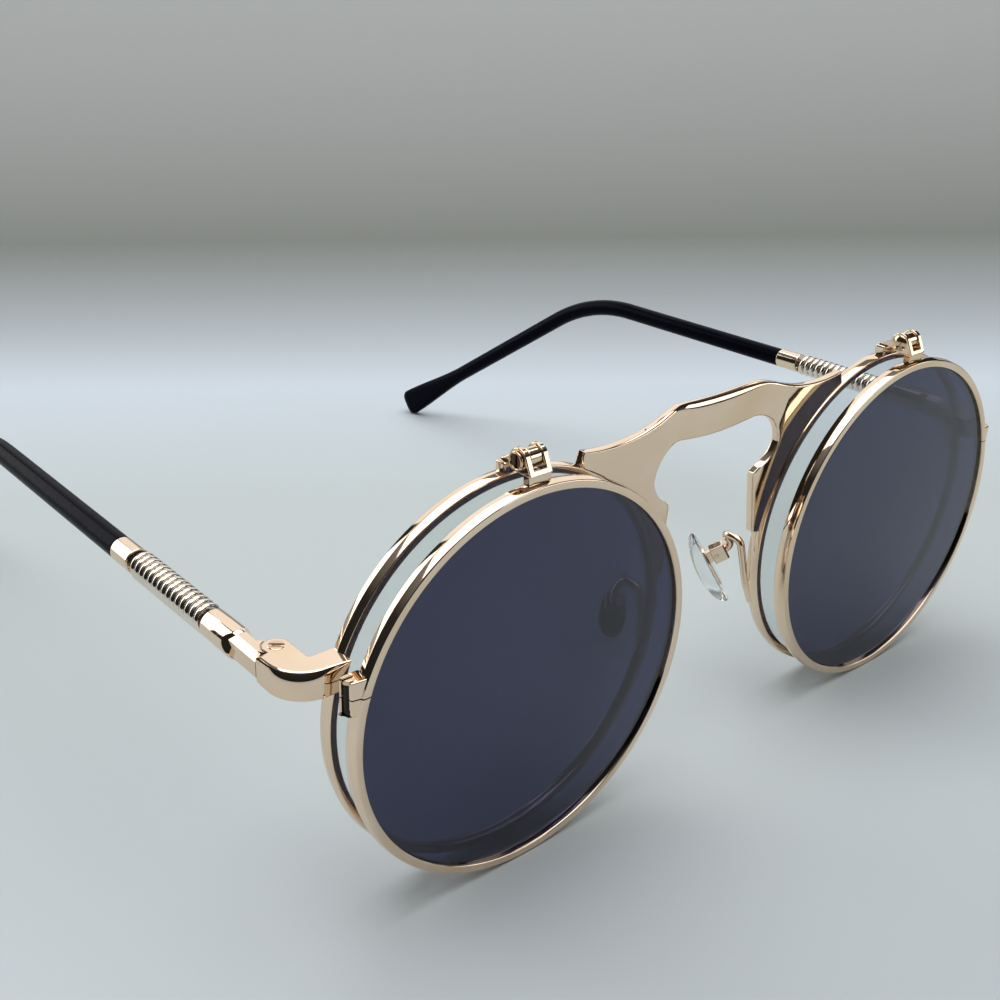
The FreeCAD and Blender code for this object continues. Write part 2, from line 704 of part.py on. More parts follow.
def flip_base():
    half = flip_knuckle_width / 2
    front = back_front + base_margin
    back = back_back - base_margin
    root = rim_radius - rim_wall
    top = rim_radius + base_foot_rise
    high = flip_axis_z + flip_knuckle_radius
    low = flip_axis_z - flip_knuckle_radius
    arm = plate_yz([(flip_axis_y, high), (back, top), (back, root), (front, root), (front, top),
                    (flip_axis_y, low)], half_spacing - half, half_spacing + half)
    foot_half = base_foot_width / 2
    foot = block(half_spacing - foot_half, half_spacing + foot_half, front, back, root, top)
    body = arm.fuse(foot).fuse(flip_barrel(-half, half, flip_knuckle_radius))
    hole = flip_barrel(-half - overrun, half + overrun, flip_screw_diameter / 2 + running_fit)
    return body.cut(hole).cut(rim_blank(back_front)).removeSplitter()


def flip_screw():
    # Slotted head on the temple side, domed end on the nose side.
    half = bracket_width / 2
    radius = flip_head_diameter / 2
    shank = flip_barrel(-half, half, flip_screw_diameter / 2)
    head = flip_barrel(half, half + flip_head_height, radius)
    face = Vector(half_spacing + half + flip_head_height, flip_axis_y, flip_axis_z)
    head = head.cut(slotted(face, x_axis, radius, z_axis))
    centre = Vector(half_spacing - half + radius - flip_head_height, flip_axis_y, flip_axis_z)
    dome = Part.makeSphere(radius, centre).common(flip_barrel(-half - radius, -half, radius))
    return shank.fuse(head).fuse(dome).removeSplitter()


# Nose pads, drawn from the pad screw: X along the screw, Y towards the nose, Z up the pad

def pad_place():
    splay = math.radians(pad_splay)
    tilt = math.radians(pad_tilt)
    nose = Vector(-math.cos(tilt) * math.cos(splay), math.cos(tilt) * math.sin(splay), -math.sin(tilt))
    up = (z_axis - nose * nose.z).normalize()
    screw = nose.cross(up)
    at = Vector(half_spacing - rim_radius + pad_outset, back_back + pad_set_back, -pad_drop)
    return at, screw, nose, up


def at_pad(shape):
    at, screw, nose, up = pad_place()
    turned_to_pad = FreeCAD.Matrix(screw.x, nose.x, up.x, at.x, screw.y, nose.y, up.y, at.y,
                                   screw.z, nose.z, up.z, at.z, 0, 0, 0, 1)
    shape.Placement = FreeCAD.Placement(turned_to_pad)
    return shape


def oval(length, width, y0, y1):
    middle = Vector(0, y0, -pad_low)
    ring = Part.Ellipse(middle + z_axis * (length / 2), middle + x_axis * (width / 2), middle)
    return Part.Face(Part.Wire(ring.toShape())).extrude(y_axis * (y1 - y0))


def nose_pad():
    start = pad_stand + pad_plate_thickness / 2
    end = start + pad_thickness
    body = oval(pad_length, pad_width, start, end)
    crown = Part.makeSphere(pad_crown_radius, Vector(0, end - pad_crown_radius, -pad_low))
    seat = pad_stand + pad_plate_thickness
    plate = oval(pad_length * pad_plate_share, pad_width * pad_plate_share, 0, seat)
    return at_pad(body.common(crown).cut(plate))


def pad_core():
    half = lug_thickness / 2
    plate = oval(pad_length * pad_plate_share, pad_width * pad_plate_share,
                 pad_stand, pad_stand + pad_plate_thickness)
    lug = rod(Vector(-half, 0, 0), x_axis, lug_thickness, lug_radius)
    neck = block(-half, half, 0, pad_stand, -lug_radius, lug_radius)
    hole = rod(Vector(-half - overrun, 0, 0), x_axis, lug_thickness + 2 * overrun,
               pad_screw_diameter / 2 + running_fit)
    return at_pad(plate.fuse(lug).fuse(neck).cut(hole).removeSplitter())


def pad_screw():
    outer = lug_thickness / 2 + lug_play + box_wall
    head_radius = pad_screw_head / 2
    shank = rod(Vector(-outer, 0, 0), x_axis, 2 * outer, pad_screw_diameter / 2)
    head = rod(Vector(outer, 0, 0), x_axis, pad_screw_head_height, head_radius)
    slot = slotted(Vector(outer + pad_screw_head_height, 0, 0), x_axis, head_radius, z_axis)
    return at_pad(shank.fuse(head).cut(slot).removeSplitter())


def bent_wire(points, radius, bend):
    # Round wire along straight runs joined by tangent arcs.
    edges = []
    start = points[0]
    for before, corner, after in zip(points, points[1:], points[2:]):
        way_in = (corner - before).normalize()
        way_out = (after - corner).normalize()
        turn = way_in.getAngle(way_out)
        reach = bend * math.tan(turn / 2)
        first = corner - way_in * reach
        last = corner + way_out * reach
        middle = corner + (way_out - way_in).normalize() * (bend / math.cos(turn / 2) - bend)
        edges.append(Part.LineSegment(start, first).toShape())
        edges.append(Part.Arc(first, middle, last).toShape())
        start = last
    edges.append(Part.LineSegment(start, points[-1]).toShape())
    ring = Part.Wire(Part.makeCircle(radius, points[0], points[1] - points[0]))
    return Part.Wire(edges).makePipeShell([ring], True, False)


def pad_arm():
    at, screw, nose, up = pad_place()
    half = lug_thickness / 2 + lug_play
    outer = half + box_wall
    box = block(-outer, outer, -box_depth, box_lip, -box_height / 2, box_height / 2)
    reach = outer + overrun
    hole = rod(Vector(-reach, 0, 0), x_axis, 2 * reach, pad_screw_diameter / 2 + screw_fit)
    box = at_pad(box.cut(hole))
    meet = at - nose * (box_depth - box_wall / 2)
    points = [round_lens_centre(arm_root_angle, -arm_sink, back_back - arm_root_lead),
              round_lens_centre(arm_rise_angle, -arm_sink, back_back + arm_rise_back),
              round_lens_centre(arm_top_angle, -arm_sink, back_back + arm_top_back),
              Vector(at.x + arm_hook_out, back_back + arm_hook_back, arm_hook_rise),
              meet - nose * arm_box_run, meet]
    points[2].z = arm_hook_rise
    wire = bent_wire(points, arm_radius, arm_bend_radius)
    return wire.fuse(box).cut(rim_blank(back_front)).cut(room_of_lug()).removeSplitter()


def room_of_lug():
    half = lug_thickness / 2 + lug_play
    tall = box_height / 2
    return at_pad(block(-half, half, box_wall - box_depth, box_lip + overrun, -tall, tall))


# Whole pair: pieces of the left side by name; the bridge stands alone

def left_pieces():
    return {
        "back_rim": rim(back_front, True),
        "clear_lens": lens(back_front),
        "back_rim_screw": lock_screw(True),
        "endpiece": endpiece(),
        "hinge_screw": hinge_screw(),
        "pad_arm": pad_arm(),
        "pad_screw": pad_screw(),
        "flip_base": flip_base(),
        "flip_rim": rim(0, False),
        "tinted_lens": lens(0),
        "flip_rim_screw": lock_screw(False),
        "flip_bracket": flip_bracket(),
        "flip_screw": flip_screw(),
        "temple_block": temple_block(),
        "temple_spring": temple_spring(),
        "temple_ferrule": temple_ferrule(),
        "temple_core": temple_core(),
        "temple_tip": temple_tip(),
        "nose_pad": nose_pad(),
        "pad_core": pad_core(),
    }


def standing_tilt(tip):
    # Angle of the line under the flip rims' lowest ridge and the temple tip.
    ridge_y = rim_depth / 2
    low = [p for edge in tip.Edges for p in edge.discretize(24)]
    return max(math.degrees(math.atan2(-rim_radius - p.z, p.y - ridge_y)) for p in low if p.y > tip_y)


def main():
    os.makedirs("parts", exist_ok=True)
    left = left_pieces()
    pieces = {"bridge": bridge()}
    for name, shape in left.items():
        pieces[name + "_left"] = shape
        pieces[name + "_right"] = shape.mirror(Vector(0, 0, 0), x_axis)
    tilt = standing_tilt(left["temple_tip"])
    for shape in pieces.values():
        shape.rotate(Vector(0, 0, 0), x_axis, tilt)
    box = Part.makeCompound(list(pieces.values())).optimalBoundingBox(False, False)
    shift = Vector(0, -(box.YMin + box.YMax) / 2, -box.ZMin)
    for name, shape in pieces.items():
        shape.translate(shift)
        if shape.Volume < 0:
            shape.reverse()
        shape.exportStep("parts/" + name + ".step")
        if not shape.isValid() or len(shape.Solids) != 1:
            print("check", name, "valid", shape.isValid(), "solids", len(shape.Solids))
    print("tilt %.3f degrees, shift %.3f %.3f mm" % (tilt, shift.y, shift.z))
    print("overall %.1f x %.1f x %.1f mm" % (box.XLength, box.YLength, box.ZLength))
    return pieces, tilt, shift


if __name__ == "__main__":
    main()
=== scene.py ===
import json
import bpy
import numpy as np
from mathutils import Matrix


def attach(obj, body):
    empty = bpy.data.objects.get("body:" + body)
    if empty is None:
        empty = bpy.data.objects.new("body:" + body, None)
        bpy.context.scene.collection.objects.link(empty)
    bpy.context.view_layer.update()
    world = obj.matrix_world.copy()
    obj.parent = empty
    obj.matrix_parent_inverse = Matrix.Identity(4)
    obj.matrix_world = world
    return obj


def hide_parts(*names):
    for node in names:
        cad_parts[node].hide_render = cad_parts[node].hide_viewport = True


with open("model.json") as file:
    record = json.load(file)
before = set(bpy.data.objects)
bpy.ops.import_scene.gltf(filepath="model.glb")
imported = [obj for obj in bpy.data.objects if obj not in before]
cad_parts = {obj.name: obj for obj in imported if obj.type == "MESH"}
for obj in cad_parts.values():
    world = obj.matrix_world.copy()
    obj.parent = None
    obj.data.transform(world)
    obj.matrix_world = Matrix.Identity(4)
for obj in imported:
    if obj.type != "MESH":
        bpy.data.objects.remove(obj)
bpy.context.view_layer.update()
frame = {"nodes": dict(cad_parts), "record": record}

print("frame loaded:", len(frame["nodes"]), "nodes")

xAxis, yAxis, zAxis = np.eye(3)
join = np.concatenate
metre = 1000                        # in the drawing's millimetres


def turnAboutX(angle):
    return np.array([[1, 0, 0], [0, np.cos(angle), -np.sin(angle)], [0, np.sin(angle), np.cos(angle)]])


# Flip up sunglasses. Pieces are drawn in millimetres: x to the wearer's left, y from the front to the
# ears, z up the lenses, from a point midway between the lens centres on the front of the flip rims.
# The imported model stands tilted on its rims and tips: the tilt and the shift come from the left temple hinge.
hinge = {"spot": (62.0, 10.6, 8.2), "joint": "temple_fold_left"}
fold = next(j for j in frame["record"]["behaviour"]["joints"] if j["name"] == hinge["joint"])
tiltTurn = turnAboutX(np.arctan2(-fold["axis"][1], fold["axis"][2]))
shift = np.array(fold["pos_m"]) * metre - tiltTurn @ np.array(hinge["spot"])
hub = np.array(hinge["spot"][:2])   # the hinge seen from above

lensCentre = 35.0                   # lens centre, from the middle of the bridge
sightRadius = 23.5                  # inner edge of a rim
rimRadius = 24.7                    # outer ridge of a rim
backFront, backBack = 4.85, 6.75    # the back rims' front and back

# Places for an outline: origin, the outline's two directions, and the direction in which it is carried
inPlan = ((0, 0, 0), xAxis, yAxis, zAxis)
acrossLens = ((lensCentre, 0, 0), yAxis, zAxis, xAxis)

tiny = 1e-4                         # shorter lengths count as none
mostOfSide = 0.49                   # most of a side that a rounded corner may take
leastMitre = 0.4                    # keeps a sharp corner's mitre short
underBelly = 0.3                    # how much of its depth a point below a belly counts with
askew = (0.31, 0.52, 0.79)          # a direction that no axis here follows


def toFrame(points):
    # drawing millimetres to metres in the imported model's frame
    return (points @ tiltTurn.T + shift) / metre


def unit(vectors):
    return vectors / np.linalg.norm(vectors, axis=-1, keepdims=True)


# Outlines

def onCircle(angle):
    return np.stack([np.cos(angle), np.sin(angle)], -1)


def fullTurn(count):
    return np.linspace(0, 2 * np.pi, count, endpoint=False)


def quarterTurn(count):
    return np.linspace(0, np.pi / 2, count)


def rounded(corners, radii):
    # closed outline with each corner replaced by the arc that touches both of its sides
    corners = np.asarray(corners, float)
    radii = np.broadcast_to(radii, len(corners))
    runs = []
    for here, before, after, radius in zip(corners, np.roll(corners, 1, 0), np.roll(corners, -1, 0), radii):
        one, two = before - here, after - here
        half = np.arccos(np.clip(unit(one) @ unit(two), -1, 1)) / 2
        reach = min(radius / np.tan(half), mostOfSide * np.hypot(*one), mostOfSide * np.hypot(*two))
        if reach < tiny:
            runs.append(here[None])
            continue
        radius = reach * np.tan(half)
        centre = here + unit(unit(one) + unit(two)) * radius / np.sin(half)
        first, last = here + unit(one) * reach - centre, here + unit(two) * reach - centre
        start = np.arctan2(first[1], first[0])
        swing = (np.arctan2(last[1], last[0]) - start + np.pi) % (2 * np.pi) - np.pi
        runs.append(centre + radius * onCircle(start + swing * np.linspace(0, 1, 6)))
    return join(runs)


def arcThrough(first, middle, last, count):
    # points on the circle through three points, from the first past the middle to the last
    sides = np.array([middle - first, last - first])
    centre = first + np.linalg.solve(sides, (sides ** 2).sum(1) / 2)
    turns = [np.arctan2(*(p - centre)[::-1]) for p in (first, middle, last)]
    toMiddle, toLast = ((t - turns[0]) % (2 * np.pi) for t in turns[1:])
    swing = toLast if toMiddle < toLast else toLast - 2 * np.pi
    return centre + np.hypot(*(first - centre)) * onCircle(turns[0] + swing * np.linspace(0, 1, count))


def circleRun(centre, radius, start, end, count):
    # points on a circle between two angles in degrees
    return centre + radius * onCircle(np.radians(np.linspace(start, end, count)))


def roundLens(angle, standOff):
    # angle in degrees round the left lens centre, distance from the rim's outer ridge
    return (lensCentre, 0) + (rimRadius + standOff) * onCircle(np.radians(angle))


# Shells: closed surfaces as (points, quads, end caps)

def gridShell(points, ringed=False):
    # points[row, column]: columns go round a closed section, rows run along it; the ends are capped
    rows, columns = points.shape[:2]
    index = np.arange(rows * columns).reshape(rows, columns)
    low, high = (index, np.roll(index, -1, 0)) if ringed else (index[:-1], index[1:])
    quads = np.stack([low, np.roll(low, -1, 1), np.roll(high, -1, 1), high], -1).reshape(-1, 4)
    return points.reshape(-1, 3), quads, [] if ringed else [index[0][::-1], index[-1]]


def plateShell(outline, low, high, edge, place, roundLow=True, roundHigh=True, crown=0.0, belly=None,
               bevel=False):
    # outline carried from low to high, drawn in along a quarter round or a straight bevel at its edges; crown
    # draws a point's wall in by the square of its height above the belly, and much less below
    following = unit(np.roll(outline, -1, 0) - outline)
    before = np.roll(following, 1, 0)
    area = np.cross(outline, np.roll(outline, -1, 0)).sum()
    outward = np.stack([following[:, 1] + before[:, 1], -following[:, 0] - before[:, 0]], -1) * np.sign(area)
    outward /= np.maximum(1 + (following * before).sum(1), leastMitre)[:, None]
    edge = np.broadcast_to(edge, len(outline))
    arc = max(edge.max(), tiny) * (1 - np.cos(quarterTurn(6)))
    parts = [low + arc if roundLow else np.array([low]), np.linspace(low, high, 13 if belly else 7)[1:-1],
             high - arc if roundHigh else np.array([high])]
    heights = np.unique(np.round(np.clip(join(parts), low, high), 5))[:, None]
    over = np.zeros((len(heights), len(outline)))
    if roundLow:
        over = np.maximum(over, low + edge - heights)
    if roundHigh:
        over = np.maximum(over, heights - high + edge)
    over = np.clip(over, 0, edge)
    inset = over if bevel else edge - np.sqrt(edge ** 2 - over ** 2)
    if belly:
        above = (heights - belly[0]) / belly[1]
        inset = inset + crown * np.where(above > 0, above, underBelly * above) ** 2
    flat = outline - inset[..., None] * outward
    origin, u, v, w = place
    return gridShell(origin + flat[..., :1] * u + flat[..., 1:] * v + heights[..., None] * w)


def turnedShell(radii, heights, origin, axis, count=48):
    # a profile of radius against height, turned about an axis
    across = unit(np.cross(axis, askew))
    angle = fullTurn(count)[:, None]
    ring = np.cos(angle) * across + np.sin(angle) * np.cross(axis, across)
    radii, heights = (np.array(size)[:, None, None] for size in (radii, heights))
    return gridShell(origin + radii * ring + heights * axis)


def rodShell(radius, low, high, edge, origin, axis, count):
    # round bar with quarter-rounded ends
    radii = radius - edge * (1 - np.sin(quarterTurn(6)))
    ends = edge * (1 - np.cos(quarterTurn(6)))
    return turnedShell(join([radii, radii[::-1]]), join([low + ends, high - ends[::-1]]), origin, axis, count)


def sweptShell(path, wide, tall, reference, power=2.0, count=20):
    # an oval of half sizes wide and tall carried along a path; wide lies square to the reference direction
    along = unit(np.gradient(path, axis=0))
    side = unit(np.cross(along, reference))
    up = np.cross(side, along)
    angle = fullTurn(count)
    wide, tall, power = (np.broadcast_to(size, len(path))[:, None] for size in (wide, tall, power))
    out = wide * np.sign(np.cos(angle)) * np.abs(np.cos(angle)) ** (2 / power)
    rise = tall * np.sign(np.sin(angle)) * np.abs(np.sin(angle)) ** (2 / power)
    return gridShell(path[:, None] + out[..., None] * side[:, None] + rise[..., None] * up[:, None])


def bentPath(corners, bend, steps):
    # straight runs joined by tangent arcs
    corners = np.asarray(corners, float)
    runs = [corners[:1]]
    for before, here, after in zip(corners, corners[1:], corners[2:]):
        wayIn, wayOut = unit(here - before), unit(after - here)
        turn = np.arccos(np.clip(wayIn @ wayOut, -1, 1))
        centre = here + unit(wayOut - wayIn) * bend / np.cos(turn / 2)
        start = here - wayIn * bend * np.tan(turn / 2) - centre
        angle = np.linspace(0, turn, steps + 1)[:, None]
        runs.append(centre + np.cos(angle) * start + np.sin(angle) * bend * wayIn)
    return join(runs + [corners[-1:]])


def slottedHead(screw, top, origin, axis, along):
    # screw head: a disc below, and two halves above it with the driver slot, (width, depth), between them
    radius, floor = screw["head"], top - screw["slot"][1]
    gap = np.degrees(np.arcsin(screw["slot"][0] / 2 / radius))
    half = circleRun((0, 0), radius, gap, 180 - gap, 29)
    place = (origin, along, np.cross(axis, along), axis)
    return [turnedShell([radius, radius], [top - screw["headTall"], floor], origin, axis)] + [
        plateShell(half * (1, sign), floor, top, screw["headEdge"], place, roundLow=False)
        for sign in (1, -1)]


def shellVolume(points, quads, caps):
    a, b, c, d = (points[quads[:, i]] for i in range(4))
    total = (a * (np.cross(b, c) + np.cross(c, d))).sum()
    for cap in caps:
        total += (points[cap[0]] * np.cross(points[cap[1:-1]], points[cap[2:]])).sum()
    return total


def newMesh(name, points, faces):
    mesh = bpy.data.meshes.new(name)
    mesh.from_pydata(points.tolist(), [], faces)
    mesh.polygons.foreach_set("use_smooth", np.ones(len(mesh.polygons), bool))
    return mesh


def addObject(name, data):
    thing = bpy.data.objects.new(name, data)
    bpy.context.scene.collection.objects.link(thing)
    return thing


def makePiece(name, body, slot, shells, nodes, sign=1, sharp=40, finish=None, firstFinish=None, firstCount=1):
    # shells joined into one mesh; one whose signed volume is below zero is turned to face outwards;
    # end caps get sharp borders, so that they shade flat; the first few shells may have a finish of their own
    allPoints, allFaces, base = [], [], 0
    for points, quads, caps in shells:
        points = points * (sign, 1, 1)
        step = 1 if shellVolume(points - points.mean(0), quads, caps) > 0 else -1
        allFaces += (quads[:, ::step] + base).tolist() + [(cap[::step] + base).tolist() for cap in caps]
        allPoints.append(points)
        base += len(points)
    mesh = newMesh(name, toFrame(join(allPoints)), allFaces)
    mesh.set_sharp_from_angle(angle=np.radians(sharp))
    corners, edges = np.zeros(len(mesh.polygons), int), np.zeros(len(mesh.loops), int)
    crisp = np.zeros(len(mesh.edges), bool)
    mesh.polygons.foreach_get("loop_total", corners)
    mesh.loops.foreach_get("edge_index", edges)
    mesh.edges.foreach_get("use_edge_sharp", crisp)
    crisp[edges[np.repeat(corners > 4, corners)]] = True
    mesh.edges.foreach_set("use_edge_sharp", crisp)
    mesh.materials.append(finish or finishes[slot])
    if firstFinish:
        mesh.materials.append(firstFinish)
        first = sum(len(quads) + len(caps) for points, quads, caps in shells[:firstCount])
        mesh.polygons.foreach_set("material_index", (np.arange(len(mesh.polygons)) < first).astype(np.int32))
    piece = addObject(name, mesh)
    flats = piece.modifiers.new("flatFaces", "WEIGHTED_NORMAL")   # large faces keep their own shading
    flats.keep_sharp = True
    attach(piece, body)
    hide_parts(*nodes)


def makePair(name, body, slot, shells, **options):
    # the left piece and its mirror image, each on its side's body and in place of the node with its name
    node = "".join("_" + letter.lower() if letter.isupper() else letter for letter in name)
    for side, sign in (("left", 1), ("right", -1)):
        rides = body if body == "frame" else body + "_" + side
        makePiece(name + side.capitalize(), rides, slot, shells, [node + "_" + side], sign, **options)


# Finishes: pattern sizes are in millimetres, depths in metres

def linear(hexText):
    # sRGB hex to linear colour
    value = np.array([int(hexText[i:i + 2], 16) for i in (1, 3, 5)]) / 255
    return (*np.where(value <= 0.04045, value / 12.92, ((value + 0.055) / 1.055) ** 2.4).tolist(), 1.0)


def addNode(tree, kind, values=None, links=None, **settings):
    # adds a node, gives its sockets values, links them from other nodes' outputs, and sets its properties
    node = tree.nodes.new("ShaderNode" + kind)
    for key, value in settings.items():
        setattr(node, key, value)
    for key, value in (values or {}).items():
        node.inputs[key].default_value = value
    for key, source in (links or {}).items():
        tree.links.new(source, node.inputs[key])
    return node


def setRamp(ramp, stops):
    # stops are (place, sRGB hex); a new ramp has two, and the rest are added
    band = ramp.color_ramp
    for element, (place, colour) in zip(band.elements, stops):
        element.position, element.color = place, linear(colour)
    for place, colour in stops[2:]:
        band.elements.new(place).color = linear(colour)


def newFinish(name):
    finish = bpy.data.materials.new(name)
    finish.use_nodes = True
    tree = finish.node_tree
    tree.nodes.clear()
    return finish, tree, addNode(tree, "TexCoord").outputs["Object"]


def layeredFinish(name, values, tones, drift, wave, wear=None):
    # two tones that drift into each other in soft clouds, on a surface that waves gently and may be dulled in
    # patches. drift is length, detail and the second tone's stop; wave is length and depth; wear is length,
    # grain, the level from which it shows, and the roughness without and with it.
    finish, tree, coords = newFinish(name)
    cloud = addNode(tree, "TexNoise", {"Scale": metre / drift[0], "Detail": drift[1]}, {"Vector": coords})
    tone = addNode(tree, "ValToRGB", {}, {"Fac": cloud.outputs["Fac"]})
    setRamp(tone, [(0.3, tones[0]), (drift[2], tones[1])])
    ripple = addNode(tree, "TexNoise", {"Scale": metre / wave[0], "Detail": 1.0}, {"Vector": coords})
    bump = addNode(tree, "Bump", {"Strength": 1.0, "Distance": wave[1]}, {"Height": ripple.outputs["Fac"]})
    links = {"Base Color": tone.outputs["Color"], "Normal": bump.outputs["Normal"]}
    if wear:
        length, grain, level, smooth, worn = wear
        patches = addNode(tree, "TexNoise", {"Scale": metre / length, "Detail": 4.0, "Roughness": grain},
                          {"Vector": coords})
        span = {"From Min": level, "From Max": 0.75, "To Min": smooth, "To Max": worn}
        dull = addNode(tree, "MapRange", span, {"Value": patches.outputs["Fac"]})
        links["Roughness"] = dull.outputs["Result"]
    shader = addNode(tree, "BsdfPrincipled", values, links)
    addNode(tree, "OutputMaterial", {}, {"Surface": shader.outputs["BSDF"]})
    return finish


def polishedMetal(name, pale, deep, rough, waveDepth):
    # Polished metal, most of it electroplated: mirror-like, with a faint drift of tone where the plating is
    # thinner, slow waves from hand polishing, and patches dulled by wiping. The polishing waves are about
    # 2.5 mm long; wiping marks are really finer than 0.1 mm and drawn at 0.5 mm.
    return layeredFinish(name, {"Metallic": 1.0}, (deep, pale), drift=(9.0, 2.0, 0.7),
                         wave=(2.5, waveDepth), wear=(0.5, 0.6, 0.35, *rough))


def clearFinish(name, edgeTone, bodyTone, ior, rough, waveLength, waveDepth, shine=0.5):
    # Polished see-through sheet or moulding: colour in what passes through it, sharp reflections on its skin,
    # a faint cloud in the tone, and a very slight wave of the moulded or ground surface. A shine below 0.5 is
    # the dimmer reflection of a coated lens.
    values = {"IOR": ior, "Roughness": rough, "Transmission Weight": 1.0, "Specular IOR Level": shine}
    return layeredFinish(name, values, (edgeTone, bodyTone), drift=(14.0, 2.0, 0.7),
                         wave=(waveLength, waveDepth))


def blackPlastic(name):
    # Tumbled black acetate: a faint, slightly blue sheen on deep black, a slow orange-peel wave about 3 mm
    # long, and a dusting of wear that dulls the sheen in patches, really finer than the 0.6 mm drawn.
    values = {"IOR": 1.48, "Specular IOR Level": 0.03, "Specular Tint": linear("#C8CEFF")}
    return layeredFinish(name, values, ("#040409", "#090912"), drift=(11.0, 3.0, 0.75),
                         wave=(3.0, 0.00003), wear=(0.6, 0.5, 0.4, 0.22, 0.34))


finishes = {   # the usual finish of each slot
    "gold_plated_metal": polishedMetal("champagneGoldPlating", "#F3DCC4", "#E9CEAF", (0.04, 0.09), 0.00001),
    "gold_plated_screw": polishedMetal("goldPlatedScrew", "#EAD2B4", "#D9BB98", (0.1, 0.2), 0.000008),
    # the core wire is darker than bare steel: painted shade in the gaps between the spring's turns
    "steel_wire": polishedMetal("drawnSteelWirePaintedShade", "#8E8982", "#77726C", (0.24, 0.38), 0.000006),
    "tinted_lens": clearFinish("tintedLensDyed", "#303250", "#353756", 1.5, 0.003, 20.0, 0.00001, 0.1),
    "clear_lens": clearFinish("clearLensPolished", "#EFF4F3", "#F7FAF9", 1.5, 0.003, 20.0, 0.000006, 0.25),
    "clear_plastic": clearFinish("clearPadMoulded", "#F3F6F5", "#FBFCFC", 1.4, 0.02, 1.6, 0.00001),
    "black_plastic": blackPlastic("blackAcetateTip")}
# paler plating for the springs, a dark thread that is painted shade in the flip lock's channel, and brown heads
# that are painted shade standing in for a hollow in the flip screws' heads
springWire = polishedMetal("palePlatedSpringWire", "#F1E8DC", "#E3D8C9", (0.05, 0.12), 0.000004)
paintedShadeThread = polishedMetal("paintedShadeScrewThread", "#3A342E", "#2A2622", (0.25, 0.4), 0.000006)
paintedShadeHead = polishedMetal("paintedShadeScrewHead", "#7A6352", "#4A3A2E", (0.15, 0.3), 0.000008)
print("finishes made:", len(bpy.data.materials))


# Rims: a section with a lens groove and a crowned outer face, turned about the lens axis and split by a slit.
# Each is closed by a lock, a half barrel and web in two halves, above and below the slit, with a screw in it.
rim = {
    "depth": 1.9, "crown": 0.2, "ridge": 0.5, "grooveDeep": 0.55, "grooveWide": 0.9, "grooveEdge": 0.06,
    "slit": 0.15, "edge": 0.2, "rows": 240}
lock = {
    "radius": 0.95, "height": 4.1, "flipLevel": 7.3, "backLevel": 6.25, "flipAxis": (59.147, 1.5),
    "backAxis": (58.296, 7.475), "lowEdge": 0.3, "topEdge": 0.14, "sink": 0.4, "web": 2.0,
    "barrel": (23, 90), "channelEdges": [0, 0.2, 0.08, 0.05, 0.05, 0.05],
    "channel": [(-2.0, -1.25), (0.35, -1.0), (0.35, -0.55), (-0.15, -0.3), (0.3, 0.44), (0.84, 0.36)]}
lockScrew = {
    "radius": 0.45, "thread": 0.6, "head": 0.675, "proud": 0.15, "headTall": 0.5, "headEdge": 0.08,
    "end": 0.35, "chamfer": 0.1, "neck": 0.3, "slot": (0.28, 0.22)}


def rimShell(front, level):
    outer = rimRadius - rim["crown"]
    middle, back = front + rim["depth"] / 2, front + rim["depth"]
    groove, edge, fine = rim["grooveWide"] / 2, rim["edge"], rim["grooveEdge"]
    section = rounded([(sightRadius, front), (outer, front), (rimRadius, middle), (outer, back),
                       (sightRadius, back), (sightRadius, middle + groove),
                       (sightRadius + rim["grooveDeep"], middle), (sightRadius, middle - groove)],
                      [edge, edge, rim["ridge"], edge, edge, fine, fine, fine])
    radius, y = section.T
    start = np.arcsin((level + rim["slit"] / 2) / radius)
    end = 2 * np.pi + np.arcsin((level - rim["slit"] / 2) / radius)
    angle = start + np.linspace(0, 1, rim["rows"])[:, None] * (end - start)
    return gridShell(np.stack([lensCentre + radius * np.cos(angle), np.broadcast_to(y, angle.shape),
                               radius * np.sin(angle)], -1))


def lockShells(level, axis, atBack):
    # the flip rim's lock has a front plate and a channel in which the screw shows
    x, y = axis
    radius = lock["radius"]
    if atBack:
        foot = backBack - lock["sink"]
        plan = join([circleRun(axis, radius, 0, 180, 25), [(x - radius, foot), (x + radius, foot)]])
    else:
        channel = rounded(np.array(lock["channel"]) + axis, lock["channelEdges"])
        plan = join([channel, circleRun(axis, radius, *lock["barrel"], 17), [(x - lock["web"], y + radius)]])
    slit, half = rim["slit"] / 2, lock["height"] / 2
    shells = [plateShell(plan, level + slit, level + half, lock["topEdge"], inPlan, roundLow=False),
              plateShell(plan, level - half, level - slit, lock["lowEdge"], inPlan, roundHigh=False)]
    if not atBack:
        for points, quads, caps in shells:   # the inner end follows the rim
            inner = points[:, 0] < x - radius
            points[inner, 0] = lensCentre + np.sqrt((rimRadius - lock["sink"]) ** 2 - points[inner, 2] ** 2)
    return shells


def lockScrewShells(level, axis):
    sole, high = level - lock["height"] / 2, level + lock["height"] / 2
    low, top = sole - lockScrew["end"], high + lockScrew["proud"]
    thin, wide, chamfer = lockScrew["radius"], lockScrew["thread"], lockScrew["chamfer"]
    neck = high - lockScrew["neck"]
    origin = np.array([*axis, 0])
    heights = [low, low + chamfer, sole, sole + chamfer, neck - chamfer, neck, high]
    shank = turnedShell([thin - chamfer, thin, thin, wide, wide, thin, thin], heights, origin, zAxis, 32)
    return [shank] + slottedHead(lockScrew, top, origin, zAxis, xAxis)


closings = [("flip", "flip", 0, lock["flipLevel"], lock["flipAxis"]),
            ("back", "frame", backFront, lock["backLevel"], lock["backAxis"])]
for kind, body, front, level, axis in closings:
    makePair(kind + "Rim", body, "gold_plated_metal",
             [rimShell(front, level)] + lockShells(level, axis, kind == "back"))
# the shanks get the dark thread, painted shade where one shows in the flip lock's channel
for kind, body, front, level, axis in closings:
    makePair(kind + "RimScrew", body, "gold_plated_screw", lockScrewShells(level, axis),
             firstFinish=paintedShadeThread)
print("rims and closing screws made")


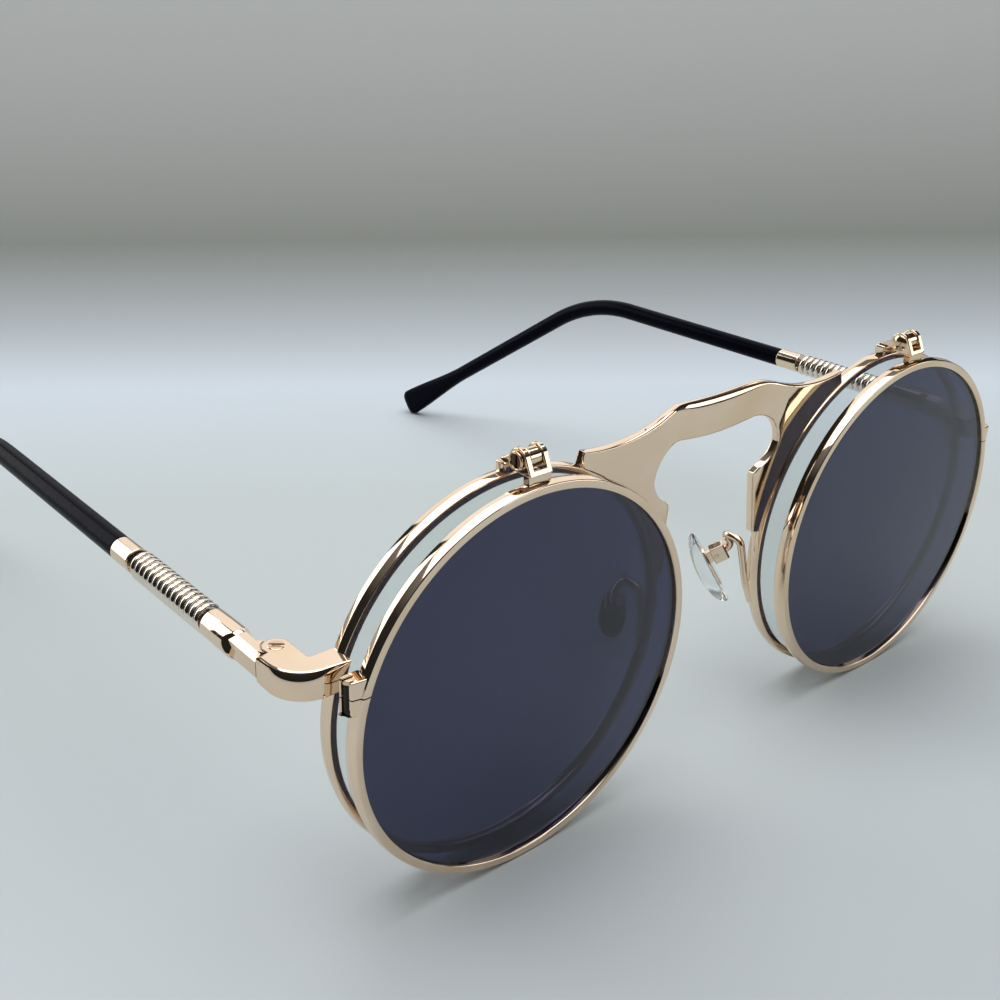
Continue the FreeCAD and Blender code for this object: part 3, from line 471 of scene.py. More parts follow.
# Lenses: a disc with a bevelled edge in the groove, its front crowned and its back hollowed by the same depth
lens = {"thick": 0.95, "fit": 0.03, "crown": 0.15, "poleShare": 0.02}


def lensShell(front):
    edge = sightRadius - lens["fit"]
    middle = front + rim["depth"] / 2
    bevel = rim["grooveWide"] / 2 - lens["fit"]
    half = lens["thick"] / 2
    face = np.linspace(lens["poleShare"], 1, 25)
    bow = lens["crown"] * (1 - face ** 2)
    radii = join([face * edge, [edge, sightRadius + rim["grooveDeep"] - lens["fit"], edge],
                  (face * edge)[::-1]])
    heights = join([middle - half - bow, [middle - bevel, middle, middle + bevel],
                    (middle + half - bow)[::-1]])
    return [turnedShell(radii, heights, (lensCentre, 0, 0), yAxis, 160)]


makePair("tintedLens", "flip", "tinted_lens", lensShell(0))
makePair("clearLens", "frame", "clear_lens", lensShell(backFront))
print("lenses made")


# Bridge: a ruled sheet between the keyhole's edge and the upper edge with the rim. Its section is an oblong
# with rounded corners, the front one along the span's upper edge much wider; the wings lie in the rims' depth
# and the span is set back by two steps. Spots are an angle round the lens and a distance from the rim.
bridge = {
    "sheet": 1.2, "setBack": 0.25, "joggle": 0.9, "run": 4.2, "soft": 0.9, "crest": 0.45, "middle": 20.4,
    "edge": 0.26, "edgeShare": 0.3, "wingBrow": (0.45, 0.4), "spanBrow": (1.7, 0.85), "browShare": 0.35,
    "sink": 0.15, "spanCount": 60, "shoulderWindow": 27, "rimTurns": (144.0, 147.0, 149.0), "rimStep": 0.2,
    "tipSteps": (0.4, 1.0),
    "spots": {
        "tip": (114.0, 1.6), "neck": (125.0, 4.1), "shoulder": (135.4, 12.1), "keyTop": (143.7, 10.6),
        "keyCorner": (141.0, 6.8), "keySide": (144.3, 3.8), "keyWaist": (148.6, 3.6), "keyFoot": (152.6, 4.5),
        "lip": (154.6, 4.9), "step": (155.6, 4.75), "end": (171.6, 1.4)}}


def softRamp(value, window):
    # a straight ramp from 0 to 1 averaged over a window, which rounds its two corners
    def area(t):
        return np.where(t < 0, 0, np.where(t > 1, t - 0.5, t * t / 2))
    return (area(value + window / 2) - area(value - window / 2)) / window


def quarter(corner, reach, towardsEdge):
    # quarter of an ellipse that rounds a corner (away, deep), from the broad face to the narrow edge or back
    turn = quarterTurn(9)
    points = (corner[0] - reach[0] * (1 - np.sin(turn)), corner[1] - reach[1] * (1 - np.cos(turn)))
    return points if towardsEdge else tuple(p[:, ::-1] for p in points)


def bridgeEdges():
    # the keyhole's edge and the upper edge, point for point, from the middle to the wing's end
    spots = {key: roundLens(*spot) for key, spot in bridge["spots"].items()}
    shoulder, keyTop, tipEnd = spots["shoulder"], spots["keyTop"], spots["tip"]
    mirror, span = np.array([-1, 1]), bridge["spanCount"]
    crest, middle = np.array([[0, shoulder[1] - bridge["crest"]], [0, bridge["middle"]]])
    tipTurn, endTurn = bridge["spots"]["tip"][0], bridge["spots"]["end"][0]
    footTurn, lipTurn, stepTurn = bridge["rimTurns"]
    intoRim, alongRim = (tipTurn + step for step in bridge["tipSteps"])

    def rimArc(first, last, count):
        return roundLens(np.linspace(first, last, count), -bridge["sink"])

    key = [arcThrough(keyTop * mirror, middle, keyTop, 2 * span - 1)[span - 1:],
           arcThrough(keyTop, spots["keyCorner"], spots["keySide"], 80),
           arcThrough(spots["keySide"], spots["keyWaist"], spots["keyFoot"], 40),
           np.linspace(spots["keyFoot"], spots["lip"], 8),
           np.linspace(spots["lip"], spots["step"], 6),
           np.linspace(spots["step"], spots["end"], 30)]
    brow = [arcThrough(shoulder * mirror, crest, shoulder, 2 * span - 1)[span - 1:],
            arcThrough(shoulder, spots["neck"], tipEnd, 80),
            np.linspace(tipEnd, roundLens(intoRim, -bridge["sink"]), 6), rimArc(alongRim, footTurn, 34),
            rimArc(footTurn + bridge["rimStep"], lipTurn, 8),
            rimArc(lipTurn + bridge["rimStep"], stepTurn, 6),
            rimArc(stepTurn + bridge["rimStep"], endTurn, 30)]
    key, brow = join(key), join(brow)
    window = bridge["shoulderWindow"]   # the shoulder's corner becomes the mean of the points round it
    around = slice(span - window, span + window)
    mean = np.stack([np.convolve(column, np.ones(window) / window, "same") for column in brow.T], -1)
    brow[around] = mean[around]
    return key, brow, shoulder[0]


def bridgeShell(sign):
    key, brow, shoulderX = bridgeEdges()
    length = np.linalg.norm(brow - key, axis=1)[:, None]
    thick = bridge["sheet"]
    least = np.minimum(bridge["edge"], bridge["edgeShare"] * length)
    onSpan = np.clip(1 - np.abs(brow[:, :1] / shoulderX) ** 3, 0, 1)
    wide, deepIn = (np.minimum(wing + onSpan * (span - wing), bridge["browShare"] * length)
                    for wing, span in zip(bridge["wingBrow"], bridge["spanBrow"]))
    face = np.linspace(0, 1, 30)[1:-1]
    loop = [quarter((0, thick), (-least, least), False),
            (least + (length - 2 * least) * face, thick + 0 * length * face),
            quarter((length, thick), (least, least), True),
            quarter((length, 0), (wide, -deepIn), False),
            ((length - wide) - (length - wide - least) * face, 0 * length * face),
            quarter((0, 0), (-least, -least), True)]
    away, deep = (join([part[side] for part in loop], 1) for side in (0, 1))
    flat = key[:, None] + away[..., None] * ((brow - key) / length)[:, None]
    outside = (np.abs(flat[..., 0]) - shoulderX) / bridge["run"] + 0.5
    y = backFront + bridge["setBack"] + deep + bridge["joggle"] * (1 - softRamp(outside, bridge["soft"]))
    return gridShell(np.stack([sign * flat[..., 0], y, flat[..., 1]], -1))


makePiece("bridge", "frame", "gold_plated_metal", [bridgeShell(1), bridgeShell(-1)], ["bridge"], sharp=50)
print("bridge made")


# Endpieces: plan outline carried up in three layers, so that the hinge's middle is open between two knuckles;
# the outer wall has a belly and its edges are rounded more towards the seam
endpiece = {
    "level": 8.2, "height": 3.3, "root": 56.0, "sink": 0.25, "front": 3.5, "corner": 4.4, "outer": 64.8,
    "seam": 10.0, "knuckle": 1.5, "room": 1.65, "gap": 0.635, "edge": 0.14, "seamEdge": 0.4,
    "softFrom": 5.2, "softPower": 1.4, "innerEdge": 0.09, "belly": 0.55, "bellyPower": 0.8, "upright": 0.25,
    "fillet": 0.35}
hingeScrew = {
    "radius": 0.6, "end": 0.03, "edge": 0.1, "head": 0.95, "headTall": 0.45, "headEdge": 0.14,
    "proud": 0.07, "slotWay": (0.766, 0.643, 0.0), "slot": (0.38, 0.38)}


def endpieceShells():
    front, outer, seam, corner = (endpiece[key] for key in ("front", "outer", "seam", "corner"))
    knuckle, room, root = (endpiece[key] for key in ("knuckle", "room", "root"))
    level, gap, half = endpiece["level"], endpiece["gap"], endpiece["height"] / 2
    inner = hub[0] - knuckle
    bend = (outer - corner, front + corner)
    brow = join([np.linspace((root, front), (bend[0], front), 12)[:-1],
                 circleRun(bend, corner, -90, 0, 33),
                 np.linspace((outer, bend[1]), (outer, seam), 8)[1:]])
    valley = rounded([(inner, hub[1]), (inner, backBack), (root, backBack)], [0, endpiece["fillet"], 0])[1:]
    knuckleTurn, roomTurn = (np.degrees(np.arcsin((seam - hub[1]) / radius)) for radius in (knuckle, room))
    full = join([brow, circleRun(hub, knuckle, knuckleTurn, 180, 40), valley])
    cut = join([brow, circleRun(hub, room, roomTurn, -90, 14), [(inner, hub[1] - room)], valley])
    belly = (level + endpiece["upright"], half - endpiece["upright"])
    shells = []
    for plan, low, high, isFirst, isLast in ((full, level - half, level - gap, True, False),
                                             (cut, level - gap, level + gap, False, False),
                                             (full, level + gap, level + half, False, True)):
        onBrow = np.arange(len(plan)) < len(brow)
        softFrom = endpiece["softFrom"]
        towardsSeam = np.clip((plan[:, 1] - softFrom) / (seam - softFrom), 0, 1) ** endpiece["softPower"]
        edge = endpiece["edge"] + (endpiece["seamEdge"] - endpiece["edge"]) * towardsSeam
        edge = np.where(onBrow, edge, endpiece["innerEdge"])
        swing = np.clip(np.arange(len(plan)) / (len(brow) - 1), 0, 1)   # most belly half way round the corner
        crown = np.where(onBrow, endpiece["belly"] * np.sin(np.pi * swing) ** endpiece["bellyPower"], 0)
        shell = plateShell(plan, low, high, edge, inPlan, isFirst, isLast, crown, belly)
        points = shell[0]
        share = np.clip((bend[0] - points[:, 0]) / (bend[0] - root), 0, 1)   # the inner end follows the rim
        onRim = lensCentre + np.sqrt((rimRadius - endpiece["sink"]) ** 2 - points[:, 2] ** 2)
        points[:, 0] = np.where(share > 0, bend[0] - share * (bend[0] - onRim), points[:, 0])
        shells.append(shell)
    return shells


def hingeScrewShells():
    low, high = (endpiece["level"] + k * endpiece["height"] / 2 for k in (-1, 1))
    origin, slotWay = np.array([*hub, 0]), unit(np.array(hingeScrew["slotWay"]))
    end = low - hingeScrew["end"]
    return [rodShell(hingeScrew["radius"], end, high, hingeScrew["edge"], origin, zAxis, 32),
            *slottedHead(hingeScrew, high + hingeScrew["proud"], origin, zAxis, slotWay)]


makePair("endpiece", "frame", "gold_plated_metal", endpieceShells())
makePair("hingeScrew", "frame", "gold_plated_screw", hingeScrewShells())
print("endpieces made")


# Temples: block with the hinge tongue, a sleeve, the spring round a core wire, a ferrule and a black tip.
# Runs are places along y, and the line slopes down behind the block; the tip's lip is runs and draw-ins.
temple = {"x": 63.6, "slope": 1.2, "slopeFrom": 15.6, "spring": 21.1, "ferrule": 39.82, "tip": 44.22}
block = {"wide": 2.4, "chamfer": 0.7, "seamGap": 0.1, "seamEdge": 0.04, "seamRun": 0.05, "margin": 0.01}
tongue = {"thick": 1.15, "run": 2.9, "heel": 0.9, "waist": 0.2, "edge": 0.05}
sleeve = {
    "radius": 1.8, "facet": 15.0, "facetRun": 1.35, "middle": 18.0, "lean": 27.0, "leadIn": 0.2,
    "leadRun": 0.6, "edge": 0.12, "mostFlat": 0.9995}
spring = {
    "turns": 15, "pitch": 1.13, "wire": 0.34, "band": 0.43, "radius": 1.47, "straight": 0.135, "bend": 0.75,
    "pull": 1.4, "steps": 40}
ferrule = {"radius": 1.64, "edge": 0.16}
core = {"radius": 0.75, "seat": 3.0, "endGap": 16.0}
tip = {
    "radius": 1.57, "cornerRun": 49.6, "bend": 36.0, "drop": 33.4, "inward": 6.8, "endRun": 69.0,
    "paddle": 24.0, "tall": 6.04, "thick": 2.5, "power": 3.2, "endRound": 2.2, "endThin": 0.98,
    "endShort": 0.9, "endLeast": 0.03, "lipEnd": 0.8,
    "lip": [(0, 0.16), (0.04, 0.08), (0.1, 0.03), (0.2, 0.0), (0.4, 0.0)]}


def sloped(points):
    # turned down about the block's end, as the line behind it slopes
    pivot = np.array([temple["x"], temple["slopeFrom"], endpiece["level"]])
    return (points - pivot) @ turnAboutX(np.radians(-temple["slope"])).T + pivot


def slopedShells(shells):
    return [(sloped(points), quads, caps) for points, quads, caps in shells]


def onTemple(y):
    y = np.asarray(y, float)
    return np.stack([np.full_like(y, temple["x"]), y, np.full_like(y, endpiece["level"])], -1)


def blockShells():
    # a bar with bevelled long edges and a hollow round the knuckles, and the hinge tongue in its end
    room, knuckle, level = endpiece["room"], endpiece["knuckle"], endpiece["level"]
    half, tall = block["wide"] / 2, endpiece["height"] / 2
    outer, inner = temple["x"] + half, temple["x"] - half
    start, end = endpiece["seam"] + block["seamGap"], temple["slopeFrom"]
    hollow = circleRun(hub, room, np.degrees(np.arccos((inner - hub[0]) / room)),
                       np.degrees(np.arcsin((start - hub[1]) / room)), 24)
    plan = join([hollow, [(outer, start)],
                 np.linspace((outer, start + block["seamRun"]), (outer, end), 5), [(inner, end)]])
    onSide = (plan[:, 0] > outer - block["margin"]) | (plan[:, 0] < inner + block["margin"])
    edge = np.where(onSide, block["chamfer"], block["seamEdge"])
    tongueEnd, deep = start + tongue["run"], tongue["thick"] / 2
    heel, waist = hub[1] + tongue["heel"], hub[1] + tongue["waist"]
    tonguePlan = join([circleRun(hub, knuckle, 180, 360, 33),
                       [(hub[0] + knuckle, tongueEnd), (inner, tongueEnd), (inner, heel),
                        (hub[0] - knuckle, waist)]])
    return [plateShell(plan, level - tall, level + tall, edge, inPlan, bevel=True), sleeveShell(),
            plateShell(tonguePlan, level - deep, level + deep, tongue["edge"], inPlan)]


def sleeveShell():
    # a round bar whose two sides have flats that slope from the block's sides out to the round
    turn = quarterTurn(7)
    facet, facetEnd = sleeve["facet"], sleeve["facet"] + sleeve["facetRun"]
    y = join([np.linspace(facet, facetEnd, 25), [sleeve["middle"]],
              temple["spring"] - sleeve["edge"] * (1 - np.sin(turn))])
    radius = np.full(len(y), sleeve["radius"])
    radius[-len(turn):] -= sleeve["edge"] * (1 - np.cos(turn))
    radius -= sleeve["leadIn"] * (1 - np.sin(np.clip((y - facet) / sleeve["leadRun"], 0, 1) * np.pi / 2))
    rise = (sleeve["radius"] - block["wide"] / 2) / sleeve["facetRun"]
    limit = np.minimum(block["wide"] / 2 + rise * (y - facet), sleeve["mostFlat"] * radius)[:, None]
    radius = radius[:, None]
    meet = np.arccos(limit / radius)   # angle at which a flat meets the round
    lean = np.radians(sleeve["lean"])
    flatUp = radius * np.sin(meet) * np.linspace(-1, 1, 25)[:-1]
    flatX = limit * np.cos(lean) - flatUp * np.sin(lean)
    flatZ = limit * np.sin(lean) + flatUp * np.cos(lean)
    across = np.linspace(0, 1, 49)[:-1]
    top = lean + meet + across * (np.pi - 2 * lean - 2 * meet)
    sole = np.pi - lean + meet + across * (np.pi + 2 * lean - 2 * meet)
    x = join([flatX, radius * np.cos(top), -flatX[:, ::-1], radius * np.cos(sole)], 1)
    z = join([flatZ, radius * np.sin(top), flatZ[:, ::-1], radius * np.sin(sole)], 1)
    return gridShell(sloped(onTemple(y)[:, None] + x[..., None] * xAxis + z[..., None] * zAxis))


def springShell():
    # wire carried along a helix: straight out of the sleeve, a quick bend, the coil, and the same at the end
    end = spring["straight"] + spring["bend"]
    turns, pull = spring["turns"], spring["pull"]

    def coil(turn):
        angle = 2 * np.pi * turn
        return onTemple(temple["spring"] + end + spring["pitch"] * turn) + spring["radius"] * np.stack(
            [np.sin(angle), 0 * angle, -np.cos(angle)], -1)

    def hermite(a, aWay, b, bWay):
        t = np.linspace(0, 1, 12)[:, None]
        return ((2 * t ** 3 - 3 * t ** 2 + 1) * a + (t ** 3 - 2 * t ** 2 + t) * pull * aWay
                + (3 * t ** 2 - 2 * t ** 3) * b + (t ** 3 - t ** 2) * pull * bWay)

    swing = spring["bend"] / spring["radius"] / (2 * np.pi)
    foot, head = coil(np.array([-swing, turns + swing]))
    foot[1], head[1] = temple["spring"], temple["spring"] + turns * spring["pitch"] + 2 * end
    winding = coil(np.linspace(0, turns, turns * spring["steps"] + 1))
    firstWay, lastWay = unit(winding[1] - winding[0]), unit(winding[-1] - winding[-2])
    leave, arrive = foot + yAxis * spring["straight"], head - yAxis * spring["straight"]
    path = join([foot[None], hermite(leave, yAxis, winding[0], firstWay)[:-1], winding,
                 hermite(winding[-1], lastWay, arrive, yAxis)[1:], head[None]])
    return sweptShell(path, spring["band"], spring["wire"], path - onTemple(path[:, 1]), count=16)


def earPath(start, endGap):
    # along the temple, round the bend over the ear, and down and inwards behind it
    corner = onTemple(temple["tip"] + tip["cornerRun"])
    drop, inward = np.radians((tip["drop"], tip["inward"]))
    onward = np.array([-np.sin(inward) * np.cos(drop), np.cos(inward) * np.cos(drop), -np.sin(drop)])
    return bentPath([onTemple(start), corner, corner + onward * (tip["endRun"] - endGap)], tip["bend"], 48)


def tipShell():
    # round bar that flattens into a paddle over its last run; its end is drawn in like a rounded oblong
    path = earPath(temple["tip"], 0)
    bendEnd, end = path[-2:]
    flatStart = end - unit(end - bendEnd) * tip["paddle"]
    roundShare = tip["endRound"] / tip["paddle"]
    along = join([np.linspace(0, 1 - roundShare, 40), 1 - roundShare * (1 - np.sin(quarterTurn(14)[1:]))])
    lipRun, lipIn = np.transpose(tip["lip"])
    stem = join([path[0] + yAxis * lipRun[:, None],
                 np.linspace(path[0] + tip["lipEnd"] * yAxis, path[1], 20),
                 path[2:-1], np.linspace(bendEnd, flatStart, 14)[1:-1],
                 flatStart + along[:, None] * (end - flatStart)])
    swell = join([np.zeros(len(stem) - len(along)), along])
    ease = swell ** 2 * (3 - 2 * swell)
    wide, tall = (tip["radius"] + (tip[key] / 2 - tip["radius"]) * ease for key in ("thick", "tall"))
    left = np.clip((1 - swell) / roundShare, 0, 1)
    close = 1 - np.sqrt(np.maximum(1 - (1 - left) ** 2, tip["endLeast"] ** 2))
    drawnIn = join([lipIn, np.zeros(len(stem) - len(lipIn))])
    wide = wide - close * tip["thick"] / 2 * tip["endThin"] - drawnIn
    tall = tall - close * tip["endRound"] * tip["endShort"] - drawnIn
    return sweptShell(stem, wide, tall, zAxis, 2 + (tip["power"] - 2) * ease, 40)


ferruleShell = rodShell(ferrule["radius"], temple["ferrule"], temple["tip"], ferrule["edge"], onTemple(0.0),
                        yAxis, 64)
corePath = earPath(temple["spring"] - core["seat"], core["endGap"])
coreShell = sweptShell(corePath, core["radius"], core["radius"], zAxis)
makePair("templeBlock", "temple", "gold_plated_metal", blockShells(), sharp=20)
makePair("templeSpring", "temple", "gold_plated_metal", slopedShells([springShell()]), finish=springWire)
makePair("templeFerrule", "temple", "gold_plated_metal", slopedShells([ferruleShell]))
# the core's darkened steel is painted shade seen between the spring's turns
makePair("templeCore", "temple", "steel_wire", slopedShells([coreShell]))
makePair("templeTip", "temple", "black_plastic", slopedShells([tipShell()]))
print("temples made")


# Flip hinges: two ears with a leaning front, a bar between them and a foot on the flip rim; a knuckle on an
# arm from the back rim, with a foot round it; and a screw with a ringed head. Roots are heights in the rims.
flip = {
    "axis": np.array([2.7, 27.0]), "knuckle": 1.25, "width": 1.6, "play": 0.06, "ear": 0.75, "root": 24.2}
bracket = {
    "radius": 1.4, "toe": 2.2, "sole": 1.38, "toeLow": (0.06, 0.12), "toeBack": 0.14, "edge": 0.13,
    "barDeep": 0.65, "barTall": 0.6, "barRound": 0.1, "barIn": 0.1, "barEdge": 0.02, "footDeep": 1.0,
    "footLap": 0.2, "footRound": 0.08, "footIn": 0.04, "footEdge": 0.1}
flipBase = {
    "margin": 0.15, "rise": 1.1, "heel": 0.3, "armRadii": [0.4, 0, 0, 0.2], "armEdge": 0.1, "wide": 2.8,
    "footRoot": 24.1, "footEdge": 0.25}
flipScrew = {
    "radius": 0.5, "edge": 0.05, "cap": 1.12, "domeTall": 0.4, "domePower": 1.3, "pole": 0.06, "ring": 0.16,
    "head": 0.928, "headTall": 0.24, "headEdge": 0.1, "slot": (0.3, 0.2)}
earInner = flip["width"] / 2 + flip["play"]
earOuter = earInner + flip["ear"]


def bracketShells():
    axis, radius = flip["axis"], bracket["radius"]
    toe, sole = axis - (bracket["toe"], bracket["sole"])
    reach = np.hypot(bracket["toe"], bracket["sole"])
    # where the leaning front leaves the ear's round
    browTurn = np.pi + np.arctan2(bracket["sole"], bracket["toe"]) - np.arccos(radius / reach)
    heel = -np.degrees(np.arcsin(bracket["sole"] / radius))
    toeX, toeZ = bracket["toeLow"]
    ear = join([circleRun(axis, radius, heel, np.degrees(browTurn), 44),
                [(toe + toeX, sole + toeZ), (toe + bracket["toeBack"], sole)]])
    lean = (axis[0] + radius * np.cos(browTurn) - toe) / (axis[1] + radius * np.sin(browTurn) - sole)
    barBack, barTop = toe + bracket["barDeep"], sole + bracket["barTall"]
    barFront = toe + lean * bracket["barTall"]
    bar = rounded([(toe, sole), (barBack, sole), (barBack, barTop), (barFront, barTop)], bracket["barRound"])
    footFront = toe + (bracket["barDeep"] - radius + flip["knuckle"]) / 2
    footBack, footTop = footFront + bracket["footDeep"], sole + bracket["footLap"]
    foot = rounded([(footFront, flip["root"]), (footBack, flip["root"]), (footBack, footTop),
                    (footFront, footTop)], bracket["footRound"])
    shells = [plateShell(ear, low, low + flip["ear"], bracket["edge"], acrossLens)
              for low in (earInner, -earOuter)]
    for outline, key in ((bar, "bar"), (foot, "foot")):
        half = earOuter - bracket[key + "In"]
        shells.append(plateShell(outline, -half, half, bracket[key + "Edge"], acrossLens))
    return shells


def flipBaseShells():
    front, back = backFront + flipBase["margin"], backBack - flipBase["margin"]
    top, root = rimRadius + flipBase["rise"], flip["root"]
    arm = join([circleRun(flip["axis"], flip["knuckle"], 270, 90, 40),
                rounded([(back, top + flipBase["heel"]), (back, root), (front, root), (front, top)],
                        flipBase["armRadii"])])
    half = flipBase["wide"] / 2
    foot = rounded([(-half, front), (half, front), (half, back), (-half, back)], flipBase["footEdge"])
    return [plateShell(arm, -flip["width"] / 2, flip["width"] / 2, flipBase["armEdge"], acrossLens),
            plateShell(foot, flipBase["footRoot"], top, flipBase["footEdge"],
                       ((lensCentre, 0, 0), *inPlan[1:]))]


def flipScrewShells():
    origin = np.array([lensCentre, *flip["axis"]])
    cap, bead = flipScrew["cap"], flipScrew["ring"]
    arc = np.linspace(flipScrew["pole"], np.pi / 2, 10)
    domeHeights = -earOuter - flipScrew["domeTall"] * np.cos(arc) ** flipScrew["domePower"]
    top = earOuter + flipScrew["headTall"]
    angle, beadTurn = fullTurn(48)[:, None], fullTurn(12)
    beadOut, beadUp = cap - bead + bead * np.cos(beadTurn), top + bead * np.sin(beadTurn)
    ring = np.stack([beadUp + 0 * angle, beadOut * np.cos(angle), beadOut * np.sin(angle)], -1)
    return slottedHead(flipScrew, top, origin, xAxis, zAxis) + [
        rodShell(flipScrew["radius"], -earOuter, earOuter, flipScrew["edge"], origin, xAxis, 32),
        turnedShell(cap * np.sin(arc), domeHeights, origin, xAxis), gridShell(origin + ring, ringed=True)]


makePair("flipBracket", "flip", "gold_plated_metal", bracketShells())
makePair("flipBase", "frame", "gold_plated_metal", flipBaseShells())
# its head's disc and slotted halves are brown, painted shade standing in for a hollow in the head
makePair("flipScrew", "flip", "gold_plated_screw", flipScrewShells(), firstFinish=paintedShadeHead, firstCount=3)
print("flip hinges made")


# Nose pads: drawn from the pad screw, in three directions: along the screw, towards the nose and up the pad.
# The arm's first three points are degrees round the lens and y.
pad = {
    "at": np.array([10.8, 12.5, -2.9]), "splay": 40.0, "lean": 31.0, "long": 12.0, "wide": 6.6,
    "thick": 2.3, "low": 1.6, "dome": 12.0, "stand": 1.2, "roll": 0.09, "backShares": [0.35, 0.8],
    "frontShares": [0.84, 0.74, 0.62, 0.5, 0.37, 0.24, 0.12, 0.03]}
padCore = {
    "share": 0.55, "thick": 0.5, "edge": 0.12, "lug": 0.9, "lugRadius": 0.85, "lugLap": 0.1, "lugEdge": 0.08}
padScrew = {
    "radius": 0.35, "end": 0.05, "edge": 0.08, "head": 0.55, "headTall": 0.3, "headEdge": 0.1,
    "slot": (0.18, 0.14)}
padBox = {"play": 0.08, "wall": 0.4, "deep": 1.6, "lip": 0.6, "tall": 2.4, "backRound": 0.35, "edge": 0.1}
padArm = {
    "radius": 0.55, "bend": 1.15, "root": (200.0, 6.4), "rise": (193.0, 7.0), "top": (178.1, 8.3),
    "topHeight": 0.95, "hook": (10.6, 11.7, 0.95), "boxRun": 1.5, "sink": 0.3}
splay, lean = np.radians((pad["splay"], pad["lean"]))
toNose = np.array([-np.cos(lean) * np.cos(splay), np.cos(lean) * np.sin(splay), -np.sin(lean)])
upPad = unit(zAxis - toNose * toNose[2])
alongScrew = np.cross(toNose, upPad)
boxInner = padCore["lug"] / 2 + padBox["play"]
boxOuter = boxInner + padBox["wall"]


def padShell():
    # ovals stacked from the back to the crown of the dome; each one's height follows the dome at its points
    angle = fullTurn(64)
    back = pad["stand"] + padCore["thick"] / 2
    front = back + pad["thick"]
    roll = np.linspace(0, np.pi, 13)
    shares = join([pad["backShares"], 1 - pad["roll"] * (1 - np.sin(roll)), pad["frontShares"]])[:, None]
    rise = join([0 * np.array(pad["backShares"]), (1 - np.cos(roll)) / 2,
                 np.ones(len(pad["frontShares"]))])[:, None]
    across = shares * pad["wide"] / 2 * np.cos(angle)
    up = shares * pad["long"] / 2 * np.sin(angle)
    dome = front - pad["dome"] + np.sqrt(pad["dome"] ** 2 - across ** 2 - up ** 2)
    height = back + rise * (dome - back)
    return gridShell(pad["at"] + across[..., None] * alongScrew + height[..., None] * toNose
                     + (up - pad["low"])[..., None] * upPad)


def padCoreShells():
    # an oval plate in the pad's back, and the lug that the screw goes through
    angle, stand = fullTurn(48), pad["stand"]
    oval = padCore["share"] / 2 * np.stack([pad["wide"] * np.cos(angle), pad["long"] * np.sin(angle)], -1)
    plate = plateShell(oval - (0, pad["low"]), stand, stand + padCore["thick"], padCore["edge"],
                       (pad["at"], alongScrew, upPad, toNose))
    radius, root, half = padCore["lugRadius"], stand + padCore["lugLap"], padCore["lug"] / 2
    lug = join([circleRun((0, 0), radius, 90, 270, 25), [(root, -radius), (root, radius)]])
    return [plate, plateShell(lug, -half, half, padCore["lugEdge"], (pad["at"], toNose, upPad, alongScrew))]


def padScrewShells():
    low, high = -boxOuter - padScrew["end"], boxOuter
    return [rodShell(padScrew["radius"], low, high, padScrew["edge"], pad["at"], alongScrew, 24),
            *slottedHead(padScrew, high + padScrew["headTall"], pad["at"], alongScrew, upPad)]


def padArmShells():
    # gooseneck wire from the rim to a box with two walls round the lug
    deep, lip, edge = padBox["deep"], padBox["lip"], padBox["edge"]
    floor = padBox["wall"] - deep
    box = rounded([(-boxOuter, -deep), (boxOuter, -deep), (boxOuter, lip), (boxInner, lip), (boxInner, floor),
                   (-boxInner, floor), (-boxInner, lip), (-boxOuter, lip)],
                  [padBox["backRound"]] * 2 + [edge] * 6)
    half = padBox["tall"] / 2
    boxShell = plateShell(box, -half, half, edge, (pad["at"], alongScrew, toNose, upPad))
    points = []
    for turn, y in (padArm[key] for key in ("root", "rise", "top")):
        x, z = roundLens(turn, -padArm["sink"])
        points.append([x, y, z])
    points[-1][2] = padArm["topHeight"]
    meet = pad["at"] - toNose * (deep - padBox["wall"] / 2)
    path = bentPath(points + [padArm["hook"], meet - toNose * padArm["boxRun"], meet], padArm["bend"], 12)
    # the direction that the wire runs along least
    leastMet = np.linalg.svd(unit(np.gradient(path, axis=0)))[2][-1]
    return [sweptShell(path, padArm["radius"], padArm["radius"], leastMet), boxShell]


makePair("nosePad", "pad", "clear_plastic", [padShell()])
makePair("padCore", "pad", "gold_plated_metal", padCoreShells())
makePair("padScrew", "frame", "gold_plated_screw", padScrewShells())
makePair("padArm", "frame", "gold_plated_metal", padArmShells())
print("nose pads made")


def placed(right, up, back, spot):
    # place of a camera or a lamp, which looks away from its back
    return Matrix(np.vstack([np.column_stack([right, up, back, spot]), [0, 0, 0, 1]]).tolist())


# Camera, worked out from the four rim circles in the photograph
camera = {
    "spot": (-116.597, -87.318, 78.636), "right": (0.765670, -0.642532, 0.030030),
    "down": (-0.251509, -0.342026, -0.905407), "lens": 44.73, "sensor": 36.0, "near": 0.005}
right, down = (tiltTurn @ np.array(camera[key]) for key in ("right", "down"))
lookOut = np.cross(right, down)
cameraSpot = toFrame(np.array(camera["spot"]))
view = addObject("camera", bpy.data.cameras.new("camera"))
view.data.lens, view.data.sensor_width, view.data.clip_start = (camera[k] for k in ("lens", "sensor", "near"))
view.matrix_world = placed(right, -down, -lookOut, cameraSpot)
bpy.context.scene.camera = view
